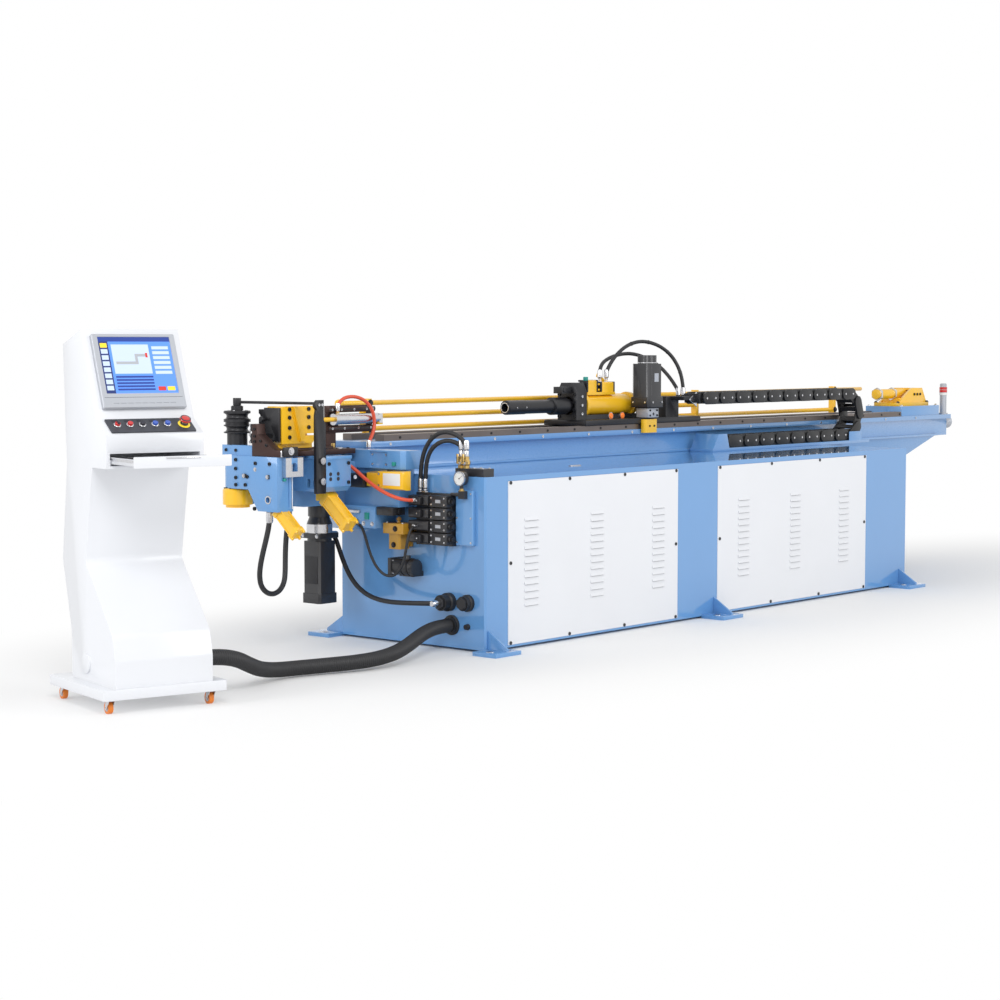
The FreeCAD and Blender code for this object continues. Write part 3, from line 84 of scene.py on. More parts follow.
def at(x, y, z):
    """A point in the machine's millimetres, in the frame's metres."""
    return Vector(((x - DATUM_X) / 1000, (y - DATUM_Y) / 1000, z / 1000))


CONSOLE = Matrix.Translation(at(CON_X, CON_Y, 0)) @ Matrix.Rotation(CON_YAW, 4, "Z")


# Properties


class BenderColours(bpy.types.PropertyGroup):
    """Paints and finishes"""

    blue: FloatVectorProperty(name="Blue paint", description="Cabinet, bed, head and arm",
                              subtype="COLOR", size=3, default=(0.125, 0.312, 0.620))
    yellow: FloatVectorProperty(name="Yellow paint", description="Cylinders, guards and bars",
                                subtype="COLOR", size=3, default=(0.940, 0.530, 0.012))
    white: FloatVectorProperty(name="White paint", description="Side panels and console",
                               subtype="COLOR", size=3, default=(0.750, 0.765, 0.800))
    black: FloatVectorProperty(name="Black oxide", description="Dies, spindle, motors and valves",
                               subtype="COLOR", size=3, default=(0.016, 0.016, 0.019))
    brown: FloatVectorProperty(name="Brown oxide", description="Clamp and pressure slides",
                               subtype="COLOR", size=3, default=(0.052, 0.026, 0.022))
    steel: FloatVectorProperty(name="Ground steel", description="Guide ways",
                               subtype="COLOR", size=3, default=(0.165, 0.140, 0.130))
    bright: FloatVectorProperty(name="Plated steel", description="Fittings, nuts and screws",
                                subtype="COLOR", size=3, default=(0.620, 0.620, 0.640))
    brass: FloatVectorProperty(name="Brass", description="Ball valves and ferrules",
                               subtype="COLOR", size=3, default=(0.620, 0.430, 0.160))
    red_hose: FloatVectorProperty(name="Red hose", description="Arch and feed hoses",
                                  subtype="COLOR", size=3, default=(0.700, 0.085, 0.035))
    orange: FloatVectorProperty(name="Orange", description="Caster treads and lamps",
                                subtype="COLOR", size=3, default=(0.780, 0.210, 0.020))
    ochre: FloatVectorProperty(name="Ochre paint", description="Auxiliary cylinder",
                               subtype="COLOR", size=3, default=(0.500, 0.260, 0.020))
    teal: FloatVectorProperty(name="Teal plastic", description="Position sensors",
                              subtype="COLOR", size=3, default=(0.020, 0.300, 0.250))


class BenderSizes(bpy.types.PropertyGroup):
    """Sizes of the dressing"""

    screw: FloatProperty(name="Panel screw", description="Radius of the panel screws' heads",
                         default=0.009, min=0.001, unit="LENGTH")
    rib_pitch: FloatProperty(name="Conduit rib", description="Pitch of the console conduit's ribs",
                             default=0.011, min=0.004, unit="LENGTH")
    keys: IntProperty(name="Keys", description="Keys in each row of the keyboard", default=15, min=8)


# Modelling helpers


def deselect():
    """Object mode with nothing selected."""
    if bpy.context.object and bpy.context.object.mode != "OBJECT":
        bpy.ops.object.mode_set(mode="OBJECT")
    bpy.ops.object.select_all(action="DESELECT")


def pick(pieces):
    """Select these pieces alone, the first of them active."""
    deselect()
    for piece in pieces:
        piece.select_set(True)
    bpy.context.view_layer.objects.active = pieces[0]


def soften(piece, width, segments=2, angle=35):
    """Round the edges sharper than angle, and apply it."""
    if width > 0:
        bevel = piece.modifiers.new("Edges", "BEVEL")
        bevel.width = width
        bevel.segments = segments
        bevel.limit_method = "ANGLE"
        bevel.angle_limit = math.radians(angle)
        pick([piece])
        bpy.ops.object.modifier_apply(modifier="Edges")


def block(name, low, high, edge=0.0015):
    """A rounded block between two corners."""
    deselect()
    bpy.ops.mesh.primitive_cube_add(size=1, location=(low + high) / 2)
    piece = bpy.context.object
    piece.name = name
    piece.scale = high - low
    bpy.ops.object.transform_apply(location=True, rotation=True, scale=True)
    soften(piece, edge)
    return piece


def turned(name, profile, sides=32, edge=0.0):
    """A turned piece along +Z from the origin: the profile is height and radius in metres."""
    deselect()
    height, radius = profile[0]
    bpy.ops.mesh.primitive_circle_add(vertices=sides, radius=radius, fill_type="NGON",
                                      location=(0, 0, height))
    piece = bpy.context.object
    piece.name = name
    bpy.ops.object.transform_apply(location=True)
    bpy.ops.object.mode_set(mode="EDIT")
    bpy.ops.mesh.select_all(action="SELECT")
    for next_height, next_radius in profile[1:]:
        bpy.ops.mesh.extrude_region_move(TRANSFORM_OT_translate={"value": (0, 0, next_height - height)})
        if next_radius != radius:
            ratio = next_radius / radius
            bpy.ops.transform.resize(value=(ratio, ratio, 1), center_override=(0, 0, next_height))
        height, radius = next_height, next_radius
    bpy.ops.mesh.select_all(action="SELECT")
    bpy.ops.mesh.normals_make_consistent(inside=False)
    bpy.ops.object.mode_set(mode="OBJECT")
    soften(piece, edge)
    return piece


def place(piece, point, direction, spin=0.0):
    """Stand a piece that was made along +Z at a point, along a direction."""
    turn = Vector(direction).to_track_quat("Z", "Y").to_matrix().to_4x4()
    piece.data.transform(Matrix.Translation(point) @ turn @ Matrix.Rotation(spin, 4, "Z"))
    return piece


def copies(piece, places):
    """One piece made of a copy of the pattern at each place, given as point and direction."""
    made = []
    for point, direction in places:
        twin = bpy.data.objects.new(piece.name, piece.data.copy())
        bpy.context.scene.collection.objects.link(twin)
        made.append(place(twin, point, direction))
    pattern = piece.data
    bpy.data.objects.remove(piece)
    bpy.data.meshes.remove(pattern)
    return merged(made)


def merged(pieces):
    """Join pieces into the first one."""
    if len(pieces) > 1:
        pick(pieces)
        bpy.ops.object.join()
    return pieces[0]


def rod(name, start, end, radius, sides=24, edge=0.0008):
    """A straight rod with rounded ends."""
    length = (end - start).length
    piece = turned(name, [(0, radius), (length, radius)], sides, edge)
    return place(piece, start, end - start)


def settle(piece, name, body, material, angle=30):
    """Name the piece, smooth it, give it its finish and let it ride on its body."""
    pick([piece])
    piece.name = name
    bpy.ops.object.transform_apply(location=True, rotation=True, scale=True)
    if piece.type == "MESH":
        bpy.ops.object.shade_smooth_by_angle(angle=math.radians(angle))
    piece.data.materials.clear()
    piece.data.materials.append(material)
    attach(piece, body)
    return piece


def screw_pattern(radius, height, sides=16):
    """A socket screw's head: round, with a sunk socket."""
    profile = [(0, radius), (height, radius), (height, radius * 0.55), (height * 0.45, radius * 0.5)]
    return turned("screw", profile, sides)


def hex_pattern(radius, height):
    """A hexagon head on its washer."""
    washer = turned("washer", [(0, radius * 1.45), (height * 0.25, radius * 1.45)], 20)
    head = turned("head", [(height * 0.25, radius), (height * 0.9, radius), (height, radius * 0.88)], 6)
    return merged([washer, head])


# Materials


def new_group(name, inputs, outputs):
    """An empty shader group with named sockets."""
    group = bpy.data.node_groups.new(name, "ShaderNodeTree")
    for label, kind, default in inputs:
        socket = group.interface.new_socket(name=label, in_out="INPUT", socket_type=kind)
        socket.default_value = default
    for label, kind in outputs:
        group.interface.new_socket(name=label, in_out="OUTPUT", socket_type=kind)
    return group


def finish_group():
    """Cloudy colour and roughness, with a fine orange-peel or grain in the normal."""
    group = new_group("Surface finish", [
        ("Colour", "NodeSocketColor", (0.5, 0.5, 0.5, 1)), ("Cloud size", "NodeSocketFloat", 3.0),
        ("Cloud depth", "NodeSocketFloat", 0.12), ("Roughness", "NodeSocketFloat", 0.4),
        ("Roughness spread", "NodeSocketFloat", 0.1), ("Grain size", "NodeSocketFloat", 300.0),
        ("Grain height", "NodeSocketFloat", 0.05), ("Stretch", "NodeSocketVector", (1, 1, 1)),
    ], [("Colour", "NodeSocketColor"), ("Roughness", "NodeSocketFloat"), ("Normal", "NodeSocketVector")])
    nodes, links = group.nodes, group.links
    source = nodes.new("NodeGroupInput")
    sink = nodes.new("NodeGroupOutput")
    coords = nodes.new("ShaderNodeTexCoord")
    stretch = nodes.new("ShaderNodeVectorMath")
    stretch.operation = "MULTIPLY"
    links.new(coords.outputs["Object"], stretch.inputs[0])
    links.new(source.outputs["Stretch"], stretch.inputs[1])
    cloud = nodes.new("ShaderNodeTexNoise")
    cloud.inputs["Detail"].default_value = 5
    links.new(coords.outputs["Object"], cloud.inputs["Vector"])
    links.new(source.outputs["Cloud size"], cloud.inputs["Scale"])
    grain = nodes.new("ShaderNodeTexNoise")
    grain.inputs["Detail"].default_value = 3
    links.new(stretch.outputs[0], grain.inputs["Vector"])
    links.new(source.outputs["Grain size"], grain.inputs["Scale"])
    centred = nodes.new("ShaderNodeMath")
    centred.operation = "SUBTRACT"
    centred.inputs[1].default_value = 0.5
    links.new(cloud.outputs["Fac"], centred.inputs[0])
    depth = nodes.new("ShaderNodeMath")
    depth.operation = "MULTIPLY_ADD"
    depth.inputs[2].default_value = 1.0
    links.new(centred.outputs[0], depth.inputs[0])
    links.new(source.outputs["Cloud depth"], depth.inputs[1])
    tinted = nodes.new("ShaderNodeVectorMath")
    tinted.operation = "SCALE"
    links.new(source.outputs["Colour"], tinted.inputs[0])
    links.new(depth.outputs[0], tinted.inputs["Scale"])
    links.new(tinted.outputs[0], sink.inputs["Colour"])
    rough_cloud = nodes.new("ShaderNodeMath")
    rough_cloud.operation = "MULTIPLY_ADD"
    links.new(grain.outputs["Fac"], rough_cloud.inputs[0])
    links.new(source.outputs["Roughness spread"], rough_cloud.inputs[1])
    links.new(source.outputs["Roughness"], rough_cloud.inputs[2])
    links.new(rough_cloud.outputs[0], sink.inputs["Roughness"])
    bump = nodes.new("ShaderNodeBump")
    bump.inputs["Distance"].default_value = 0.001
    links.new(source.outputs["Grain height"], bump.inputs["Strength"])
    links.new(grain.outputs["Fac"], bump.inputs["Height"])
    links.new(bump.outputs["Normal"], sink.inputs["Normal"])
    return group


def surface(name, colour, roughness=0.4, spread=0.1, metallic=0.0, coat=0.0, coat_roughness=0.05,
            cloud=3.0, depth=0.1, grain=300.0, height=0.05, stretch=(1, 1, 1), specular=0.5):
    """A material with the shared finish group in front of its shader."""
    material = bpy.data.materials.new(name)
    material.use_nodes = True
    nodes, links = material.node_tree.nodes, material.node_tree.links
    shader = nodes["Principled BSDF"]
    shader.inputs["Metallic"].default_value = metallic
    shader.inputs["Coat Weight"].default_value = coat
    shader.inputs["Coat Roughness"].default_value = coat_roughness
    shader.inputs["Specular IOR Level"].default_value = specular
    finish = nodes.new("ShaderNodeGroup")
    finish.node_tree = bpy.data.node_groups.get("Surface finish") or finish_group()
    finish.inputs["Colour"].default_value = (*colour, 1)
    finish.inputs["Cloud size"].default_value = cloud
    finish.inputs["Cloud depth"].default_value = depth
    finish.inputs["Roughness"].default_value = roughness - spread / 2
    finish.inputs["Roughness spread"].default_value = spread
    finish.inputs["Grain size"].default_value = grain
    finish.inputs["Grain height"].default_value = height
    finish.inputs["Stretch"].default_value = stretch
    links.new(finish.outputs["Colour"], shader.inputs["Base Color"])
    links.new(finish.outputs["Roughness"], shader.inputs["Roughness"])
    links.new(finish.outputs["Normal"], shader.inputs["Normal"])
    return material


def glow(name, colour, strength):
    """A lit surface with a faint unevenness, for the screen and the lamps."""
    material = surface(name, colour, roughness=0.3, depth=0.05)
    shader = material.node_tree.nodes["Principled BSDF"]
    shader.inputs["Emission Color"].default_value = (*colour, 1)
    shader.inputs["Emission Strength"].default_value = strength
    return material


FINISHES = {}


def finishes():
    """Every finish, made once from the colours in the panel."""
    if FINISHES:
        return FINISHES
    c = bpy.context.scene.bender_colours
    FINISHES.update({
        "blue": surface("Blue paint", c.blue, 0.28, 0.08, coat=0.7, coat_roughness=0.04, depth=0.10,
                        height=0.02),
        "blue_top": surface("Blue gloss paint", c.blue, 0.16, 0.04, coat=1.0, coat_roughness=0.02,
                            depth=0.06, height=0.0),
        "yellow": surface("Yellow paint", c.yellow, 0.32, 0.1, coat=0.5, depth=0.10, height=0.03),
        "white": surface("White paint", c.white, 0.36, 0.08, coat=0.35, depth=0.05, grain=700, height=0.05),
        "black": surface("Black oxide", c.black, 0.38, 0.18, metallic=0.2, depth=0.4, grain=260,
                         height=0.06),
        "black_paint": surface("Black paint", c.black, 0.42, 0.12, coat=0.3, depth=0.3, grain=500,
                               height=0.08),
        "brown": surface("Brown oxide", c.brown, 0.42, 0.16, metallic=0.55, depth=0.5, cloud=9, grain=200,
                         height=0.08,
                         stretch=(1, 6, 1)),
        "steel": surface("Ground way", c.steel, 0.34, 0.2, metallic=0.75, depth=0.5, cloud=6, grain=60,
                         height=0.05,
                         stretch=(1, 30, 30)),
        "bright": surface("Plated steel", c.bright, 0.24, 0.16, metallic=1.0, depth=0.2, cloud=30,
                          grain=400, height=0.04),
        "brass": surface("Brass", c.brass, 0.30, 0.14, metallic=1.0, depth=0.3, cloud=30, grain=400,
                         height=0.04),
        "red_hose": surface("Red hose", c.red_hose, 0.40, 0.12, depth=0.12, grain=900, height=0.1),
        "rubber": surface("Black rubber", (0.014, 0.014, 0.016), 0.52, 0.16, depth=0.4, grain=900,
                          height=0.12),
        "orange": surface("Orange tread", c.orange, 0.45, 0.1, depth=0.15, grain=600, height=0.08),
        "ochre": surface("Ochre paint", c.ochre, 0.36, 0.12, coat=0.4, depth=0.25, grain=300, height=0.05),
        "teal": surface("Teal plastic", c.teal, 0.40, 0.1, depth=0.1, grain=600, height=0.05),
        "red": surface("Red plastic", (0.60, 0.012, 0.012), 0.26, 0.08, coat=0.5, depth=0.08, height=0.02),
        "button_blue": surface("Blue plastic", (0.03, 0.10, 0.50), 0.26, 0.08, coat=0.5, depth=0.08,
                               height=0.02),
        "chain": surface("Moulded chain", (0.012, 0.012, 0.013), 0.46, 0.16, depth=0.5, cloud=14, grain=500,
                         height=0.12),
        "key": surface("Key caps", (0.022, 0.022, 0.025), 0.50, 0.1, depth=0.2, grain=900, height=0.1),
        "bezel": surface("Bezel", (0.44, 0.46, 0.50), 0.38, 0.1, metallic=0.3, depth=0.06, grain=700,
                         height=0.05),
        "dark_plate": surface("Control plate", (0.045, 0.048, 0.060), 0.40, 0.12, depth=0.2, grain=600,
                              height=0.06),
        "plate": surface("Bare plate", (0.78, 0.78, 0.76), 0.34, 0.08, coat=0.3, depth=0.05, grain=500,
                         height=0.02),
        "dial": surface("Dial", (0.80, 0.80, 0.78), 0.3, 0.05, coat=0.6, depth=0.04, height=0.0),
        # Dark ink: real dark marks such as the gauge's print, and also painted shade in the holes, slots, slits
        # and grooves and under the louvres.
        "ink": surface("Dark ink and painted shade", (0.02, 0.02, 0.03), 0.4, 0.1, depth=0.2),
        "screen": glow("Screen", (0.075, 0.20, 0.62), 0.75),
        "screen_head": glow("Screen header", (0.012, 0.035, 0.20), 0.7),
        "screen_side": glow("Screen side", (0.010, 0.022, 0.11), 0.7),
        "screen_key": glow("Screen key", (0.70, 0.52, 0.03), 0.6),
        "screen_light": glow("Screen light", (0.42, 0.50, 0.62), 0.6),
        "screen_red": glow("Screen red", (0.50, 0.03, 0.02), 0.5),
        "lamp": glow("Lamp", (0.85, 0.20, 0.03), 0.35),
        "lens": glow("Lens", (0.75, 0.78, 0.85), 0.3),
    })
    return FINISHES


NODE_FINISH = {
    "cabinet": "blue_top", "access_panels": "white", "leveling_feet": "blue", "bed_beam": "blue",
    "guide_ways": "steel", "head_frame": "blue", "bend_drum": "yellow", "bend_drive_motor": "black_paint",
    "drive_cover": "yellow", "pressure_block": "blue", "tie_post": "black", "pressure_cylinder": "yellow",
    "pressure_slide": "brown", "booster_cylinder": "bright", "pressure_holder": "yellow",
    "pressure_die": "black", "bend_arm": "blue", "bend_die": "black", "clamp_slide": "brown",
    "clamp_die": "black", "clamp_cylinder": "yellow", "valve_stack": "black_paint",
    "auxiliary_cylinder": "ochre", "pump_unit": "black_paint",
    "cable_glands": "rubber", "pressure_gauge": "black_paint", "support_bars": "yellow",
    "energy_chain": "chain", "chain_tray": "blue", "carriage_base": "black", "pinion_cover": "yellow",
    "spindle_housing": "yellow", "spindle": "black", "chuck_cylinder": "yellow",
    "feed_motor": "black_paint", "mandrel_unit": "yellow", "signal_tower": "bezel",
    "console_housing": "white", "monitor": "bezel", "button_plate": "dark_plate",
    "keyboard_drawer": "white", "keyboard": "key",
}


# Stage and camera


class BENDER_OT_stage(bpy.types.Operator):
    """Camera, floor, backdrop light and lamps"""

    bl_idname = "bender.stage"
    bl_label = "Stage"

    def execute(self, context):
        camera_data = bpy.data.cameras.new("Camera")
        camera_data.sensor_width = 36.0
        camera_data.lens = 77.44
        camera_data.clip_end = 200.0
        camera = bpy.data.objects.new("Camera", camera_data)
        context.scene.collection.objects.link(camera)
        yaw = math.radians(40.806)
        pitch = math.radians(4.094)
        look = Vector((math.cos(yaw) * math.cos(pitch), math.sin(yaw) * math.cos(pitch), -math.sin(pitch)))
        camera.location = (-9.691, -7.289, 1.5)
        camera.rotation_euler = look.to_track_quat("-Z", "Y").to_euler()
        context.scene.camera = camera
        deselect()
        bpy.ops.mesh.primitive_plane_add(size=90, location=(0, 0, 0))
        floor = context.object
        floor.name = "floor"
        floor.data.materials.append(self.floor_paint())
        self.sky(context)
        for name, place_at, aim, size, power in (
                ("key", (-9.0, -7.0, 7.5), (0.0, 0.0, 0.6), 5.0, 480.0),
                ("fill", (2.0, -11.0, 5.0), (0.5, 0.0, 0.8), 6.0, 360.0),
                ("end", (-11.0, 1.5, 4.0), (-1.5, 0.0, 0.8), 4.0, 210.0)):
            data = bpy.data.lights.new(name, "AREA")
            data.shape = "DISK"
            data.size = size
            data.energy = power
            lamp = bpy.data.objects.new(name, data)
            lamp.location = place_at
            lamp.rotation_euler = (Vector(aim) - Vector(place_at)).to_track_quat("-Z", "Y").to_euler()
            context.scene.collection.objects.link(lamp)
        context.scene.view_settings.view_transform = "Standard"
        return {"FINISHED"}

    def floor_paint(self):
        """Softly shaded where the machine stands, plain white further away."""
        material = bpy.data.materials.new("Floor")
        material.use_nodes = True
        nodes, links = material.node_tree.nodes, material.node_tree.links
        shader = nodes["Principled BSDF"]
        coords = nodes.new("ShaderNodeTexCoord")
        flat = nodes.new("ShaderNodeVectorMath")
        flat.operation = "MULTIPLY"
        flat.inputs[1].default_value = (0.30, 1.0, 0.0)
        links.new(coords.outputs["Object"], flat.inputs[0])
        away = nodes.new("ShaderNodeVectorMath")
        away.operation = "LENGTH"
        links.new(flat.outputs[0], away.inputs[0])
        fade = nodes.new("ShaderNodeMapRange")
        fade.interpolation_type = "SMOOTHSTEP"
        fade.inputs["From Min"].default_value = 0.7
        fade.inputs["From Max"].default_value = 2.2
        links.new(away.outputs["Value"], fade.inputs["Value"])
        white = nodes.new("ShaderNodeEmission")
        white.inputs["Strength"].default_value = 1.0
        mixed = nodes.new("ShaderNodeMixShader")
        links.new(fade.outputs["Result"], mixed.inputs["Fac"])
        links.new(shader.outputs["BSDF"], mixed.inputs[1])
        links.new(white.outputs["Emission"], mixed.inputs[2])
        links.new(mixed.outputs[0], nodes["Material Output"].inputs["Surface"])
        shader.inputs["Base Color"].default_value = (0.90, 0.90, 0.90, 1)
        shader.inputs["Roughness"].default_value = 0.7
        shader.inputs["Specular IOR Level"].default_value = 0.1
        return material

    def sky(self, context):
        """A white world behind the machine that lights it at a plain level."""
        world = bpy.data.worlds.new("Studio")
        world.use_nodes = True
        context.scene.world = world
        nodes, links = world.node_tree.nodes, world.node_tree.links
        background = nodes["Background"]
        background.inputs["Color"].default_value = (1, 1, 1, 1)
        rays = nodes.new("ShaderNodeLightPath")
        seen = nodes.new("ShaderNodeMath")
        seen.operation = "MAXIMUM"
        links.new(rays.outputs["Is Camera Ray"], seen.inputs[0])
        links.new(rays.outputs["Is Glossy Ray"], seen.inputs[1])
        seen_2 = nodes.new("ShaderNodeMath")
        seen_2.operation = "MAXIMUM"
        links.new(seen.outputs[0], seen_2.inputs[0])
        links.new(rays.outputs["Is Transmission Ray"], seen_2.inputs[1])
        level = nodes.new("ShaderNodeMapRange")
        level.inputs["To Min"].default_value = 0.62
        level.inputs["To Max"].default_value = 1.0
        links.new(seen_2.outputs[0], level.inputs["Value"])
        links.new(level.outputs["Result"], background.inputs["Strength"])


# Hoses


ROUTES = {
    "console_conduit": (70.0, "machine",
                        ((-1825.2, 40.9, 175.0), (-1729.0, 15.1, 175.0), (-1609.0, 22.0, 152.0),
        (-1492.0, 66.0, 106.0), (-1375.0, 122.0, 68.0), (-1245.0, 165.0, 46.0), (-1110.0, 160.0, 41.0),
        (-975.0, 118.0, 42.0), (-845.0, 72.0, 44.0), (-710.0, 50.0, 48.0), (-570.0, 62.0, 60.0),
        (-435.0, 105.0, 80.0), (-305.0, 158.0, 103.0), (-200.0, 196.0, 116.0), (-105.0, 219.0, 123.0),
        (-24.3, 219.0, 123.0))),
    "arch_hose": (18.0, "pressure",
                  ((-190.0, 821.0, 1172.3), (-190.0, 820.0, 1204.0), (-162.0, 814.0, 1236.0),
        (-114.0, 806.0, 1247.0), (-62.0, 798.0, 1241.0), (-14.0, 792.0, 1220.0), (22.0, 786.0, 1180.0),
        (36.0, 782.0, 1130.0), (30.0, 778.0, 1082.0), (8.0, 774.0, 1044.0), (-20.0, 770.0, 1012.0),
        (-20.0, 770.0, 982.3))),
    "feed_hose": (18.0, "machine", ((-299.7, 740.0, 932.0), (-272.0, 740.0, 932.0), (-246.0, 724.0, 922.0),
        (-226.0, 698.0, 904.0), (-214.0, 666.0, 880.0), (-208.0, 630.0, 853.0), (-204.0, 588.0, 827.0),
        (-202.0, 544.0, 803.0), (-200.0, 498.0, 782.0), (-194.0, 452.0, 765.0), (-180.0, 414.0, 752.0),
        (-154.0, 388.0, 744.0), (-118.0, 376.0, 740.0), (-78.3, 376.0, 740.0))),
    "pressure_hose_1": (22.0, "machine",
                        ((-20.0, 411.0, 793.3), (-20.5, 410.5, 835.0), (-25.0, 403.0, 878.0),
        (-31.0, 392.0, 922.0), (-36.0, 376.0, 966.0), (-37.0, 352.0, 1010.0), (-35.0, 318.0, 1048.0),
        (-29.0, 276.0, 1073.0), (-19.0, 232.0, 1080.0), (-4.0, 190.0, 1068.0), (12.0, 160.0, 1044.0),
        (24.0, 144.0, 1014.0), (24.0, 144.0, 989.3))),
    "pressure_hose_2": (22.0, "machine",
                        ((-20.0, 377.0, 793.3), (-20.5, 376.5, 835.0), (-25.0, 370.0, 877.0),
        (-31.0, 360.0, 918.0), (-36.0, 344.0, 957.0), (-37.0, 320.0, 992.0), (-34.0, 288.0, 1018.0),
        (-26.0, 252.0, 1034.0), (-11.0, 219.0, 1036.0), (8.0, 195.0, 1026.0), (24.0, 177.0, 1008.0),
        (24.0, 177.0, 989.3))),
    "arm_hose": (26.0, "arm", ((-717.0, 760.0, 703.7), (-717.0, 760.5, 662.0), (-722.0, 766.0, 610.0),
        (-731.0, 775.0, 555.0), (-739.0, 787.0, 498.0), (-744.5, 798.0, 443.0), (-745.0, 806.0, 390.0),
        (-731.0, 812.0, 337.0), (-692.0, 817.0, 299.0), (-640.0, 822.0, 285.0), (-587.0, 829.0, 299.0),
        (-549.0, 838.0, 337.0), (-532.0, 849.0, 389.0), (-519.0, 862.0, 448.0), (-505.0, 874.0, 508.0),
        (-489.0, 885.0, 564.0), (-471.0, 895.0, 610.0), (-459.0, 899.5, 651.0), (-458.0, 900.0, 691.7))),
    "cylinder_hose": (14.0, "machine",
                      ((-349.7, 556.0, 629.0), (-322.0, 556.0, 629.0), (-292.0, 558.0, 615.0),
        (-266.0, 561.0, 575.0), (-248.0, 559.0, 520.0), (-233.0, 549.0, 462.0), (-215.0, 528.0, 404.0),
        (-194.0, 494.0, 366.0), (-174.0, 454.0, 362.0), (-160.0, 422.0, 392.0), (-153.0, 402.0, 440.0),
        (-150.0, 390.0, 492.0), (-145.0, 382.0, 546.0), (-132.0, 378.5, 592.0), (-104.0, 378.0, 614.0),
        (-78.3, 378.0, 614.0))),
    "motor_cable": (24.0, "machine",
                    ((-146.7, 930.0, 543.0), (-124.0, 930.0, 543.0), (-108.0, 922.0, 518.0),
        (-108.0, 902.0, 478.0), (-113.0, 876.0, 434.0), (-122.0, 842.0, 388.0), (-133.0, 800.0, 342.0),
        (-143.0, 748.0, 300.0), (-152.0, 688.0, 268.0), (-160.0, 622.0, 247.0), (-166.0, 552.0, 236.0),
        (-167.0, 482.0, 232.0), (-162.0, 412.0, 233.0), (-152.0, 348.0, 235.0), (-134.0, 290.0, 237.0),
        (-104.0, 240.0, 237.0), (-70.3, 240.0, 237.0))),
    "chuck_hose_1": (22.0, "carriage",
                     ((2150.0, 937.0, 1311.6), (2150.0, 937.0, 1342.0), (2170.0, 932.0, 1382.0),
        (2208.0, 930.0, 1424.0), (2260.0, 930.0, 1462.0), (2324.0, 933.0, 1494.0), (2396.0, 934.0, 1517.0),
        (2474.0, 929.0, 1529.0), (2550.0, 912.0, 1522.0), (2618.0, 884.0, 1496.0), (2670.0, 852.0, 1450.0),
        (2698.0, 822.0, 1390.0), (2706.0, 798.0, 1328.0), (2705.0, 784.0, 1268.0), (2704.0, 780.0, 1230.0),
        (2704.0, 780.0, 1200.3))),
    "chuck_hose_2": (22.0, "carriage",
                     ((2090.0, 937.0, 1311.6), (2090.0, 937.0, 1338.0), (2108.0, 949.0, 1368.0),
        (2146.0, 966.0, 1394.0), (2198.0, 983.0, 1414.0), (2262.0, 996.0, 1431.0), (2332.0, 1004.0, 1445.0),
        (2404.0, 1005.0, 1454.0), (2476.0, 1000.0, 1455.0), (2546.0, 982.0, 1442.0),
        (2604.0, 950.0, 1414.0),
        (2642.0, 906.0, 1374.0), (2658.0, 860.0, 1324.0), (2660.0, 818.0, 1276.0), (2654.0, 780.0, 1230.0),
        (2654.0, 780.0, 1200.3))),
}


def route_curve(name, points, bevel):
    """A smooth line through a route's control points, as thick as the hose."""
    curve = bpy.data.curves.new(name, "CURVE")
    curve.dimensions = "3D"
    spline = curve.splines.new("NURBS")
    spline.points.add(len(points) - 1)
    for control, (x, y, z) in zip(spline.points, points):
        control.co = (*at(x, y, z), 1)
    spline.order_u = 3
    spline.use_endpoint_u = True
    spline.resolution_u = 10
    curve.bevel_depth = bevel
    curve.bevel_resolution = 6
    curve.use_fill_caps = True
    piece = bpy.data.objects.new(name, curve)
    bpy.context.scene.collection.objects.link(piece)
    return piece


def centre_line(name, points):
    """The points of the smooth line itself, read from the curve with no thickness."""
    line = route_curve(name + "_line", points, 0.0)
    bpy.context.view_layer.update()
    mesh = bpy.data.meshes.new_from_object(line.evaluated_get(bpy.context.evaluated_depsgraph_get()))
    path = [vertex.co.copy() for vertex in mesh.vertices]
    bpy.data.objects.remove(line)
    bpy.data.meshes.remove(mesh)
    return path


def run_length(path):
    return sum((b - a).length for a, b in zip(path, path[1:]))


def resampled(path, step):
    """Points about a step apart along a path."""
    total = run_length(path)
    count = max(2, round(total / step))
    marks = [total * i / count for i in range(count + 1)]
    points = []
    walked = 0.0
    k = 0
    for mark in marks:
        while k < len(path) - 2 and walked + (path[k + 1] - path[k]).length < mark:
            walked += (path[k + 1] - path[k]).length
            k += 1
        span = path[k + 1] - path[k]
        share = min(1.0, (mark - walked) / max(span.length, 1e-9))
        points.append(path[k] + span * share)
    return points


def ribbed_tube(name, path, radius, sides=28):
    """A ring is extruded along the path, every other ring drawn in, as corrugated conduit is."""
    verts = []
    faces = []
    side = Vector((0, 0, 1))
    for i, point in enumerate(path):
        ahead = path[min(i + 1, len(path) - 1)] - path[max(i - 1, 0)]
        ahead.normalize()
        across = ahead.cross(side).normalized()
        up = across.cross(ahead)
        reach = radius * (1.0 if i % 4 in (0, 1) else 0.91)
        for j in range(sides):
            turn = 2 * math.pi * j / sides
            verts.append(point + (across * math.cos(turn) + up * math.sin(turn)) * reach)
    for i in range(len(path) - 1):
        for j in range(sides):
            a = i * sides + j
            b = i * sides + (j + 1) % sides
            faces.append((a, b, b + sides, a + sides))
    faces.append(tuple(range(sides - 1, -1, -1)))
    faces.append(tuple(range(len(verts) - sides, len(verts))))
    mesh = bpy.data.meshes.new(name)
    mesh.from_pydata(verts, [], faces)
    piece = bpy.data.objects.new(name, mesh)
    bpy.context.scene.collection.objects.link(piece)
    pick([piece])
    bpy.ops.object.mode_set(mode="EDIT")
    bpy.ops.mesh.select_all(action="SELECT")
    bpy.ops.mesh.normals_make_consistent(inside=False)
    bpy.ops.object.mode_set(mode="OBJECT")
    return piece


